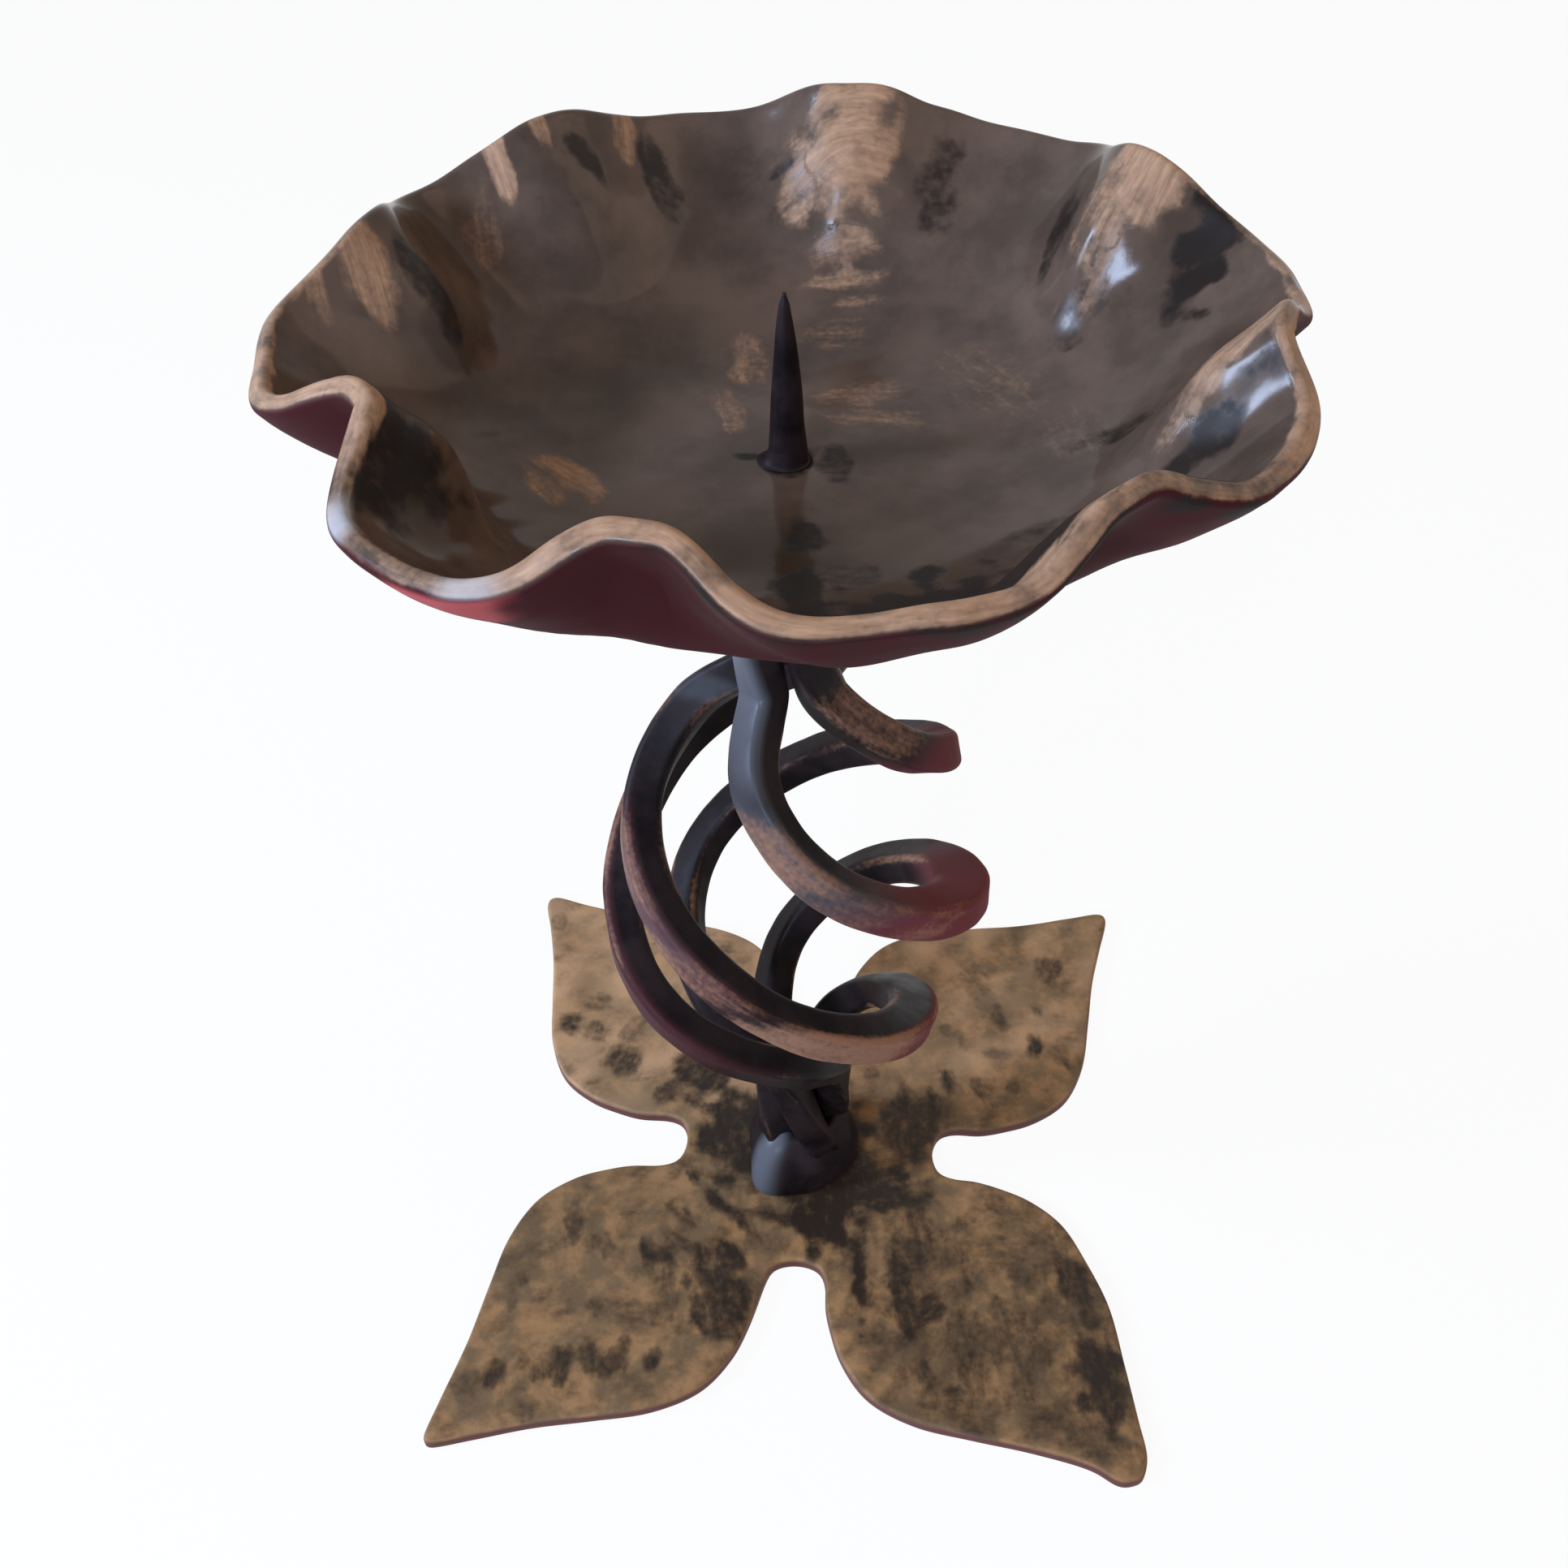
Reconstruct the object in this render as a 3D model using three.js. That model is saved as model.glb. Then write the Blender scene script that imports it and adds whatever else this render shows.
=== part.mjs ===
// Wrought iron pricket candlestick: a four-petal plate, a basket-twist stem of four square bars
// and a fluted drip dish with a spike for the candle.
// Millimetres, +Z up. The origin is the middle of the plate's underside, on the table.
// The viewer stands at -Y, and +X is to the viewer's right.
import * as THREE from "three";

// Driving sizes: fits and sheet
const FIT_GAP = 0.3; // between pieces that are welded or riveted together
const PLATE_THICKNESS = 3;
const DISH_THICKNESS = 3;

// Driving sizes: square bars and the height of the stem's three stretches
const BAR_WIDTH = 6;
const BAR_EDGE = 0.8; // bevel that hammering leaves along a bar's edges
const STUB_HEIGHT = 22;
const BASKET_HEIGHT = 104;
const NECK_HEIGHT = 32.2;
const BELLY_RADIUS = 28; // stem axis to the middle of a bar, at the fattest place
const BELLY_OFFSET_X = -0.4; // the basket was opened a little to one side
const BELLY_OFFSET_Y = -1.3;

// Driving sizes: spike and core pin
const PRICKET_RADIUS = 2.5;
const PRICKET_HEIGHT = 23.3; // above the dish floor
const PRICKET_SHANK = 24; // below the dish, between the bars
const CORE_PIN_LENGTH = 18;

// Driving sizes: dish
const RIM_RADIUS = 60.6;
const DISH_DEPTH = 21.5;
const SEAT_RADIUS = 14; // flat floor round the spike
const RIM_TILT = 1.5; // the front lobes stand this much higher than the middle
const RIM_LEAN = 0.9; // the rim's middle lies this much behind the spike
const FOLD_RISE = 6;
const FOLD_PULL = 6; // how far a fold draws the rim inwards

// Driving sizes: plate
const PLATE_EDGE = 0.5;
const PETAL_LENGTH = 90; // middle of the plate to a tip
const PETAL_HALF_WIDTH = 26.6;
const TIP_HALF_WIDTH = 1.1; // the tips are blunt
const NOTCH_RADIUS = 25; // middle of the plate to the bottom of a notch
const NOTCH_HALF_WIDTH = 5.6;

// Driving sizes: weld beads
const FOOT_WELD_REACH = 4.5; // out from the bars, along the plate
const FOOT_WELD_HEIGHT = 10;
const NECK_WELD_REACH = 3.6;
const NECK_WELD_HEIGHT = 4;
const STEM_WELD_LIP = 0.9;
const SPIKE_WELD_REACH = 1.4;
const SPIKE_WELD_HEIGHT = 1.4;
const SPIKE_WELD_LIP = 0.4;

// Turn of the stem, in degrees: the basket's top, and how far it winds on the way down
const STEM_START = -48.7;
const BASKET_TWIST = 311;
const TWIST_EASE_SHARE = -0.06; // the basket winds a little slower at both ends
const BAR_COUNT = 4;

// How far the basket has opened: place down the basket, and opening towards the belly
const BASKET_SHARES = [
  [0, 0],
  [0.1, 0.46],
  [0.22, 0.83],
  [0.38, 1],
  [0.55, 0.96],
  [0.72, 0.49],
  [0.87, 0.08],
  [1, 0],
];

// The eight folds of the rim: azimuth in degrees, shares of the fold's rise and pull,
// and the half-width of the fold on its two sides in degrees
const FOLD_SHARES = [
  { at: 254, rise: 1.1, pull: 0.9, before: 9, after: 9.3 },
  { at: 212, rise: 1.05, pull: 1.5, before: 11.1, after: 5.7 },
  { at: 162.5, rise: 0.88, pull: 1.1, before: 10.1, after: 8.9 },
  { at: 125.4, rise: 1, pull: 0.87, before: 12.2, after: 9.2 },
  { at: 79, rise: 1.02, pull: 0.9, before: 11.8, after: 9.3 },
  { at: 29.6, rise: 1.1, pull: 1.08, before: 7.8, after: 9.8 },
  { at: 343.8, rise: 0.93, pull: 0.73, before: 4.9, after: 8.4 },
  { at: 304.7, rise: 0.8, pull: 0.6, before: 8.3, after: 9 },
];
// Lobes between the folds that sag (negative rise) or stand out (negative pull)
const LOBE_SHARES = [
  { at: 232, rise: -0.07, pull: -0.27, before: 10, after: 10 },
  { at: 190, rise: -0.23, pull: -0.1, before: 10, after: 9 },
  { at: 326, rise: -0.05, pull: -0.2, before: 9, after: 9 },
];
const FOLD_START_SHARE = 0.5; // share of the rim radius where the folds begin
const FOLD_SOFTNESS = 2.8; // exponent: higher makes a flatter crest and steeper flanks
const BOWL_EXPONENT = 2.7; // higher makes a flatter floor and a steeper wall
const OVAL_SHARE = 0.006; // the rim is this much wider from side to side

// Spike above the dish floor: share of its height, share of the rod's radius
const SPIKE_SHARES = [
  [0.07, 1],
  [0.22, 0.91],
  [0.46, 0.8],
  [0.72, 0.54],
  [0.93, 0.28],
  [0.985, 0.18],
];

// The four hand-cut petals: direction in degrees, and shares of the plate's sizes for the length,
// the half-widths of the two sides, how far the second side swells towards the tip,
// the blunted tip and the notch that follows
const PETAL_SHARES = [
  { at: -135, length: 0.993, before: 0.974, after: 0.925, swell: 0, tip: 0.55, notch: 0.996 },
  { at: -45, length: 0.972, before: 0.959, after: 0.957, swell: 0.12, tip: 3, notch: 1.016 },
  { at: 45, length: 1, before: 1.015, after: 1, swell: 0, tip: 1, notch: 1 },
  { at: 135, length: 0.978, before: 0.985, after: 0.975, swell: 0, tip: 1.27, notch: 0.944 },
];
const PLATE_TURN = -5.3; // the plate sits turned by this many degrees
// Flank of a petal from the notch to the tip: share of its length, of its half-width, of the swell
const FLANK_SHARES = [
  [0.32, 0.77, 0],
  [0.37, 0.87, 0],
  [0.43, 0.96, 0],
  [0.52, 1, 0],
  [0.62, 0.885, 0.15],
  [0.72, 0.65, 0.9],
  [0.82, 0.4, 1],
  [0.92, 0.19, 0.7],
];
// Side of a notch from its round bottom outwards: along and across, as shares of its half-width
const NOTCH_SHARES = [
  [0.23, 0.77],
  [0.73, 1],
];

// Mesh fineness
const DISH_SEGMENTS = 120;
const DISH_RING_SHARES = [0.36, 0.5, 0.62, 0.72, 0.81, 0.89, 0.95, 1];
const BAR_STEPS = 60;
const OUTLINE_STEPS = 40;
const ROUND_SEGMENTS = 24;
const FILLET_STEPS = 4;
const PROBE_SHARE = 0.005; // step that finds a curve's or a surface's direction
const PROBE_ANGLE = 0.5;

// Colours and finish
const IRON_BLACK = 0x2b2522;
const IRON_BROWN = 0x3f3833;
const RUBBED_GOLD = 0x8a6d4c;

// Places that follow from the sizes
const PLATE_TOP = PLATE_THICKNESS;
const STEM_BOTTOM = PLATE_TOP + FIT_GAP;
const BASKET_BOTTOM = STEM_BOTTOM + STUB_HEIGHT;
const BASKET_TOP = BASKET_BOTTOM + BASKET_HEIGHT;
const STEM_TOP = BASKET_TOP + NECK_HEIGHT;
const DISH_UNDERSIDE = STEM_TOP + FIT_GAP;
const DISH_FLOOR = DISH_UNDERSIDE + DISH_THICKNESS;
const BAR_FLAT = BAR_WIDTH / 2 - BAR_EDGE; // half of the flat between two bevelled edges
const BUNDLE_BORE = Math.max(PRICKET_RADIUS, BAR_FLAT) + FIT_GAP; // axis to a bar's inner face
const BUNDLE_RADIUS = BUNDLE_BORE + BAR_WIDTH / 2;
const BUNDLE_CORNER = Math.hypot(BUNDLE_RADIUS + BAR_WIDTH / 2, BAR_WIDTH / 2);

const radians = (degrees) => THREE.MathUtils.degToRad(degrees);

// Smooth curve through a table of [place, value] pairs, level at both ends
function valueAlong(table, place) {
  const last = table.length - 1;
  if (place <= table[0][0]) return table[0][1];
  if (place >= table[last][0]) return table[last][1];
  const i = table.findIndex((pair) => pair[0] > place) - 1;
  const slope = (k) => {
    if (k === 0 || k === last) return 0;
    return (table[k + 1][1] - table[k - 1][1]) / (table[k + 1][0] - table[k - 1][0]);
  };
  const span = table[i + 1][0] - table[i][0];
  const t = (place - table[i][0]) / span;
  const rest = 1 - t;
  const start = table[i][1] * (1 + 2 * t) + slope(i) * span * t;
  const end = table[i + 1][1] * (1 + 2 * rest) - slope(i + 1) * span * rest;
  return start * rest * rest + end * t * t;
}

// Closed surface over rings of equal point count: capped at both ends, or joined end to end
function ringSurface(rings, joined) {
  const count = rings[0].length;
  const positions = rings.flat().flatMap((point) => [point.x, point.y, point.z]);
  const index = [];
  const bands = joined ? rings.length : rings.length - 1;
  for (let r = 0; r < bands; r += 1) {
    const here = r * count;
    const next = ((r + 1) % rings.length) * count;
    for (let k = 0; k < count; k += 1) {
      const side = (k + 1) % count;
      index.push(here + k, here + side, next + side);
      index.push(here + k, next + side, next + k);
    }
  }
  if (!joined) {
    const lastRing = (rings.length - 1) * count;
    for (let k = 1; k < count - 1; k += 1) {
      index.push(0, k + 1, k);
      index.push(lastRing, lastRing + k, lastRing + k + 1);
    }
  }
  const geometry = new THREE.BufferGeometry();
  geometry.setAttribute("position", new THREE.Float32BufferAttribute(positions, 3));
  geometry.setIndex(index);
  geometry.computeVertexNormals();
  return geometry;
}

function iron(color, roughness) {
  return new THREE.MeshStandardMaterial({ color, roughness, metalness: 0.6 });
}

function piece(name, geometry, material, height = 0) {
  const mesh = new THREE.Mesh(geometry, material);
  mesh.name = name;
  mesh.position.z = height;
  return mesh;
}

// Base plate: a flat four-petal sheet

// Point of the plate, from its distances along and across a direction given in degrees
function platePoint(direction, along, across) {
  const up = new THREE.Vector3(0, 0, 1);
  return new THREE.Vector3(along, across, 0).applyAxisAngle(up, radians(direction + PLATE_TURN));
}

// Outline from one petal's tip, round the notch, to the next petal's tip
function notchOutline(petal, next) {
  const flank = (own, halfWidth, swell) => {
    const length = own.length * PETAL_LENGTH;
    const points = FLANK_SHARES.map(([lengthShare, widthShare, swellShare]) =>
      platePoint(own.at, lengthShare * length, (widthShare + swellShare * swell) * halfWidth),
    );
    return [...points, platePoint(own.at, length, own.tip * TIP_HALF_WIDTH * Math.sign(halfWidth))];
  };
  const middle = petal.at + 180 / PETAL_SHARES.length;
  const bottom = petal.notch * NOTCH_RADIUS;
  const notchSide = (halfWidth) =>
    NOTCH_SHARES.map(([outShare, acrossShare]) =>
      platePoint(middle, bottom + outShare * NOTCH_HALF_WIDTH, acrossShare * halfWidth),
    );
  const inward = flank(petal, petal.after * PETAL_HALF_WIDTH, petal.swell).reverse();
  const outward = flank(next, -next.before * PETAL_HALF_WIDTH, 0);
  const notch = [
    ...notchSide(-NOTCH_HALF_WIDTH).reverse(),
    platePoint(middle, bottom, 0),
    ...notchSide(NOTCH_HALF_WIDTH),
  ];
  return new THREE.CatmullRomCurve3([...inward, ...notch, ...outward]).getPoints(OUTLINE_STEPS);
}

function basePlate() {
  const points = PETAL_SHARES.flatMap((petal, k) =>
    notchOutline(petal, PETAL_SHARES[(k + 1) % PETAL_SHARES.length]),
  );
  const shape = new THREE.Shape(points.map((point) => new THREE.Vector2(point.x, point.y)));
  return new THREE.ExtrudeGeometry(shape, {
    depth: PLATE_THICKNESS - 2 * PLATE_EDGE,
    bevelEnabled: true,
    bevelThickness: PLATE_EDGE,
    bevelSize: PLATE_EDGE,
    bevelOffset: -PLATE_EDGE,
    bevelSegments: 1,
  });
}

// Stem: four square bars, bundled round a core at both ends and opened into a basket

// Section of a bar: a square with bevelled edges, across (x) and outward (y)
function barSection() {
  const face = BAR_WIDTH / 2;
  return [
    [BAR_FLAT, face],
    [-BAR_FLAT, face],
    [-face, BAR_FLAT],
    [-face, -BAR_FLAT],
    [-BAR_FLAT, -face],
    [BAR_FLAT, -face],
    [face, -BAR_FLAT],
    [face, BAR_FLAT],
  ];
}

// Middle line of one bar at a height, with the direction that points away from the stem's axis
function barPlace(bar, height) {
  const down = (BASKET_TOP - height) / BASKET_HEIGHT;
  const inside = THREE.MathUtils.clamp(down, 0, 1);
  const ease = (TWIST_EASE_SHARE * Math.sin(2 * Math.PI * inside)) / (2 * Math.PI);
  const past = TWIST_EASE_SHARE * (down - inside);
  const azimuth = radians(STEM_START + BASKET_TWIST * (down + ease + past) - (360 / BAR_COUNT) * bar);
  const opening = valueAlong(BASKET_SHARES, inside);
  const radius = BUNDLE_RADIUS + (BELLY_RADIUS - BUNDLE_RADIUS) * opening;
  const outward = new THREE.Vector3(Math.cos(azimuth), Math.sin(azimuth), 0);
  const middle = outward.clone().multiplyScalar(radius);
  middle.add(new THREE.Vector3(BELLY_OFFSET_X * opening, BELLY_OFFSET_Y * opening, height));
  return { middle, outward };
}

// Ring of section points round the bar at a height; the two end rings are cut level
function barRing(bar, height, level) {
  const probe = BASKET_HEIGHT * PROBE_SHARE;
  const { middle, outward } = barPlace(bar, height);
  const above = barPlace(bar, height + probe).middle;
  const below = barPlace(bar, height - probe).middle;
  const along = above.sub(below).normalize();
  const out = outward.addScaledVector(along, -outward.dot(along)).normalize();
  const across = new THREE.Vector3().crossVectors(out, along);
  return barSection().map(([x, y]) => {
    const point = middle.clone().addScaledVector(across, x).addScaledVector(out, y);
    if (level) point.addScaledVector(along, (height - point.z) / along.z);
    return point;
  });
}

function stemBar(bar) {
  const rings = Array.from({ length: BAR_STEPS + 1 }, (_, k) => {
    const height = THREE.MathUtils.lerp(STEM_BOTTOM, STEM_TOP, k / BAR_STEPS);
    return barRing(bar, height, k === 0 || k === BAR_STEPS);
  });
  return ringSurface(rings, false);
}

// Short round pin that fills the middle of the bars above the plate
function corePin() {
  const pin = new THREE.CylinderGeometry(PRICKET_RADIUS, PRICKET_RADIUS, CORE_PIN_LENGTH, ROUND_SEGMENTS);
  return pin.rotateX(Math.PI / 2).translate(0, 0, CORE_PIN_LENGTH / 2);
}

// Ring of weld metal: a concave fillet that leans on a flat face at height zero
function filletRing(innerRadius, reach, height, lip) {
  const outer = innerRadius + reach;
  const profile = new THREE.Path();
  profile.moveTo(innerRadius, 0);
  profile.lineTo(outer, 0);
  profile.lineTo(outer, lip);
  profile.quadraticCurveTo(innerRadius + 2 * lip, 2 * lip, innerRadius + lip, height);
  profile.lineTo(innerRadius, height);
  profile.lineTo(innerRadius, 0);
  return new THREE.LatheGeometry(profile.getPoints(FILLET_STEPS), ROUND_SEGMENTS);
}

// Lathe shapes turn about Y, so they are stood up on +Z, or hung from it
function stood(geometry, hanging = false) {
  return geometry.rotateX(hanging ? -Math.PI / 2 : Math.PI / 2);
}

// Dish: one sheet, dished, with eight folds pushed into its wall

// How much a fold or lobe shows at an azimuth: 1 on its crest, falling to 0 beside it
function waveStrength(wave, azimuth) {
  const away = THREE.MathUtils.euclideanModulo(azimuth - wave.at + 180, 360) - 180;
  const width = away < 0 ? wave.before : wave.after;
  return Math.pow(2, -Math.pow(Math.abs(away) / width, FOLD_SOFTNESS));
}

// Point of the dish's upper face, for a share of the rim radius and an azimuth in degrees
function dishPoint(share, azimuth) {
  const seatShare = SEAT_RADIUS / RIM_RADIUS;
  const wall = Math.pow(Math.max(0, (share - seatShare) / (1 - seatShare)), BOWL_EXPONENT);
  const reach = THREE.MathUtils.smoothstep(share, FOLD_START_SHARE, 1);
  let radius = RIM_RADIUS * share * (1 + OVAL_SHARE * wall * Math.cos(radians(2 * azimuth)));
  let height = DISH_DEPTH * wall - RIM_TILT * wall * Math.sin(radians(azimuth));
  [...FOLD_SHARES, ...LOBE_SHARES].forEach((wave) => {
    const strength = waveStrength(wave, azimuth) * reach;
    radius -= wave.pull * FOLD_PULL * strength;
    height += wave.rise * FOLD_RISE * strength;
  });
  const turn = radians(azimuth);
  return new THREE.Vector3(radius * Math.cos(turn), radius * Math.sin(turn) + RIM_LEAN * wall, height);
}

// The same place on the dish's lower face, one sheet thickness below along the surface normal
function dishUnderPoint(share, azimuth) {
  const here = dishPoint(share, azimuth);
  const inwards = dishPoint(share - PROBE_SHARE, azimuth);
  const back = dishPoint(share, azimuth - PROBE_ANGLE);
  const ahead = dishPoint(share, azimuth + PROBE_ANGLE);
  const normal = here.clone().sub(inwards).cross(ahead.sub(back)).normalize();
  return here.addScaledVector(normal, -DISH_THICKNESS);
}

function dish() {
  const holeRadius = PRICKET_RADIUS + FIT_GAP;
  const beadRadius = holeRadius + SPIKE_WELD_REACH + FIT_GAP; // the candle's seat starts outside the weld
  const seatShare = SEAT_RADIUS / RIM_RADIUS;
  const upper = [holeRadius / RIM_RADIUS, beadRadius / RIM_RADIUS, seatShare, ...DISH_RING_SHARES];
  const azimuths = Array.from({ length: DISH_SEGMENTS }, (_, k) => (360 * k) / DISH_SEGMENTS);
  const top = upper.map((share) => azimuths.map((azimuth) => dishPoint(share, azimuth)));
  const bottom = upper.map((share) =>
    azimuths.map((azimuth) => {
      if (share > seatShare) return dishUnderPoint(share, azimuth);
      return dishPoint(share, azimuth).setComponent(2, -DISH_THICKNESS);
    }),
  );
  return ringSurface([...bottom, ...top.reverse()], true);
}

// Spike: a round shank between the bars that tapers above the dish floor
function pricket() {
  const spike = SPIKE_SHARES.map(
    ([heightShare, radiusShare]) =>
      new THREE.Vector2(radiusShare * PRICKET_RADIUS, heightShare * PRICKET_HEIGHT),
  );
  const profile = [
    new THREE.Vector2(0, -PRICKET_SHANK),
    new THREE.Vector2(PRICKET_RADIUS, -PRICKET_SHANK),
    ...spike,
    new THREE.Vector2(0, PRICKET_HEIGHT),
  ];
  return new THREE.LatheGeometry(profile, ROUND_SEGMENTS);
}

// The assembly, from the table up
const candlestick = new THREE.Group();

candlestick.add(piece("base_plate", basePlate(), iron(RUBBED_GOLD, 0.6), PLATE_EDGE));

const weldBore = BUNDLE_CORNER + FIT_GAP;
const footWeld = filletRing(weldBore, FOOT_WELD_REACH, FOOT_WELD_HEIGHT, STEM_WELD_LIP);
candlestick.add(piece("foot_weld", stood(footWeld), iron(IRON_BLACK, 0.45), STEM_BOTTOM));
candlestick.add(piece("foot_core_pin", corePin(), iron(IRON_BLACK, 0.5), STEM_BOTTOM));

for (let bar = 0; bar < BAR_COUNT; bar += 1) {
  candlestick.add(piece(`stem_bar_${bar + 1}`, stemBar(bar), iron(IRON_BLACK, 0.45)));
}

const neckWeld = filletRing(weldBore, NECK_WELD_REACH, NECK_WELD_HEIGHT, STEM_WELD_LIP);
candlestick.add(piece("neck_weld", stood(neckWeld, true), iron(IRON_BLACK, 0.5), STEM_TOP));

candlestick.add(piece("dish", dish(), iron(IRON_BROWN, 0.4), DISH_FLOOR));

const spikeBore = PRICKET_RADIUS + FIT_GAP;
const spikeWeld = filletRing(spikeBore, SPIKE_WELD_REACH, SPIKE_WELD_HEIGHT, SPIKE_WELD_LIP);
candlestick.add(piece("pricket_weld", stood(spikeWeld), iron(IRON_BLACK, 0.5), DISH_FLOOR + FIT_GAP));
candlestick.add(piece("pricket", stood(pricket()), iron(IRON_BLACK, 0.4), DISH_FLOOR));

export default candlestick;
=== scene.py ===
# %% [markdown]
# # A wrought iron pricket candlestick
# Four square bars are twisted into an open basket and welded between a hand-cut foot plate and
# a fluted drip dish. A spike in the middle of the dish holds a pillar candle.
#
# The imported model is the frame: it has every piece at its real size. This lesson builds the
# finer surface of each piece around it, paints the finishes and lights the scene.

# %% Load the frame
import math

import bpy
import numpy as np
from mathutils import Matrix, Vector
from mathutils.geometry import delaunay_2d_cdt


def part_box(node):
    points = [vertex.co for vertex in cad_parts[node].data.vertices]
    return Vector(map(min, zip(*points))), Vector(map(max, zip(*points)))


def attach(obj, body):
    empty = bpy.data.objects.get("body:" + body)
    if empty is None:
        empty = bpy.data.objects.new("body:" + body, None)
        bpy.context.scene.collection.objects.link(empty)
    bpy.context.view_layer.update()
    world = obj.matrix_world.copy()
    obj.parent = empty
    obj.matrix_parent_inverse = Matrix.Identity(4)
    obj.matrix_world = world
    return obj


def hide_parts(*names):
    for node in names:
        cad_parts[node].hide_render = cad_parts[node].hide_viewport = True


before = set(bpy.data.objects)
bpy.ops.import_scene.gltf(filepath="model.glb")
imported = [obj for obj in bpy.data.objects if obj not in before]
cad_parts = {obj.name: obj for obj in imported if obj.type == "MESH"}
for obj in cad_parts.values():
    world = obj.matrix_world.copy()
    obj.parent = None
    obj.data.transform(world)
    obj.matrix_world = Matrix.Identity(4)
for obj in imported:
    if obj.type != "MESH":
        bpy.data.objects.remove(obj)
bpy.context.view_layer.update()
MM = 0.001
print("frame nodes:", sorted(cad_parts))

# %% [markdown]
# Shapes are worked out in millimetres, as a smith would measure them, and turned into metres
# when the mesh is made. The main heights are read from the frame, so the new surfaces lie
# where the frame's pieces lie.


# %% Heights from the frame
def box_mm(node):
    """Lowest and highest corner of one of the frame's pieces, in millimetres."""
    low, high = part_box(node)
    return np.array(low) / MM, np.array(high) / MM


SHEET = 3.0
STUB_HEIGHT = 22.0
NECK_HEIGHT = 32.2
PLATE_TOP = box_mm("base_plate")[1][2]
STEM_BOTTOM = box_mm("stem_bar_1")[0][2]
STEM_TOP = box_mm("stem_bar_1")[1][2]
BASKET_BOTTOM = STEM_BOTTOM + STUB_HEIGHT
BASKET_TOP = STEM_TOP - NECK_HEIGHT
DISH_FLOOR = box_mm("dish")[0][2] + SHEET
SPIKE_TIP = box_mm("pricket")[1][2]
print(f"basket {BASKET_BOTTOM:.1f} to {BASKET_TOP:.1f} mm, dish floor {DISH_FLOOR:.1f} mm")

# %% [markdown]
# Nothing a smith makes is perfectly even. A sum of long waves in random directions gives a
# gentle unevenness that has no seam, because it depends only on the place in space.


# %% Helpers for shapes
def smooth_rise(low, high, value):
    """0 below low, 1 above high, and a smooth step between."""
    t = np.clip((value - low) / (high - low), 0, 1)
    return t * t * (3 - 2 * t)


def ripple(points, wavelength, seed):
    """Gentle unevenness of a hand-worked surface, with a spread of about 1."""
    waves = 24
    rng = np.random.default_rng(seed)
    directions = rng.normal(size=(waves, 3))
    directions /= np.linalg.norm(directions, axis=1)[:, None]
    lengths = wavelength * rng.uniform(0.7, 1.5, waves)
    phases = rng.uniform(0, 2 * math.pi, waves)
    turns = points @ (directions / lengths[:, None]).T * 2 * math.pi + phases
    return np.cos(turns).sum(axis=-1) / math.sqrt(waves / 2)


def value_along(table, place):
    """Smooth curve through a table of (place, value) pairs, level at both ends."""
    places, values = np.array(table, float).T
    slopes = np.zeros(len(places))
    slopes[1:-1] = (values[2:] - values[:-2]) / (places[2:] - places[:-2])
    i = np.clip(np.searchsorted(places, place, side="right") - 1, 0, len(places) - 2)
    span = places[i + 1] - places[i]
    t = np.clip((place - places[i]) / span, 0, 1)
    rest = 1 - t
    start = values[i] * (1 + 2 * t) + slopes[i] * span * t
    end = values[i + 1] * (1 + 2 * rest) - slopes[i + 1] * span * rest
    return start * rest**2 + end * t**2


def unit(vectors):
    """The same directions with a length of 1."""
    return vectors / np.linalg.norm(vectors, axis=-1, keepdims=True)


def ring_faces(rings, count, joined):
    """Quads over rings of equal point count, joined end to end or capped at both ends."""
    here = np.arange(rings if joined else rings - 1)[:, None] * count
    there = (here + count) % (rings * count)
    k = np.arange(count)[None, :]
    side = (k + 1) % count
    quads = np.stack([here + k, here + side, there + side, there + k], axis=-1)
    faces = quads.reshape(-1, 4).tolist()
    if not joined:
        faces.append(list(range(count))[::-1])
        faces.append(list(range((rings - 1) * count, rings * count)))
    return faces


# %% [markdown]
# Every new surface becomes a piece in the same way: a mesh in metres, smooth shaded, riding on
# the one rigid body, and standing for the frame's piece that it follows. Paint is laid on as
# numbers at the points of the mesh: how thickly each coat was brushed on, and the direction of
# the brush.


# %% Helper that makes a piece
def make_piece(name, points, faces, material, node, coats):
    """Mesh from points in millimetres, with its coats of paint as point attributes."""
    mesh = bpy.data.meshes.new(name)
    mesh.from_pydata((points * MM).tolist(), [], faces)
    for coat, values in coats.items():
        kind = "FLOAT" if values.ndim == 1 else "FLOAT_VECTOR"
        field = "value" if values.ndim == 1 else "vector"
        layer = mesh.attributes.new(coat, kind, "POINT")
        layer.data.foreach_set(field, values.astype(np.float32).ravel())
    mesh.shade_smooth()
    mesh.materials.append(material)
    piece = bpy.data.objects.new(name, mesh)
    bpy.context.scene.collection.objects.link(piece)
    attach(piece, "root")
    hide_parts(node)
    print(f"{name}: {len(points)} points, {len(faces)} faces")


# %% [markdown]
# ## Camera
# The photographer held the camera in front of the candlestick and above it, and looked down at
# 45 degrees from close by. The short distance makes the dish look large and the foot small, so
# the camera's place matters as much as its angle. Its place, angles and focal length come from
# a fit to points of the object that were picked on the photograph.

# %% Camera
CAMERA_PLACE = (-1.84, -175.46, 282.70)
LOOK_DOWN = 45.26
ROLL = -1.80
FOCAL_PIXELS = 1988.4
PHOTO_PIXELS = 1932

pitch = math.radians(LOOK_DOWN)
roll = math.radians(ROLL)
forward = Vector((0, math.cos(pitch), -math.sin(pitch)))
right = Vector((1, 0, 0))
up = right.cross(forward)
across = right * math.cos(roll) + up * math.sin(roll)
upright = up * math.cos(roll) - right * math.sin(roll)

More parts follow.
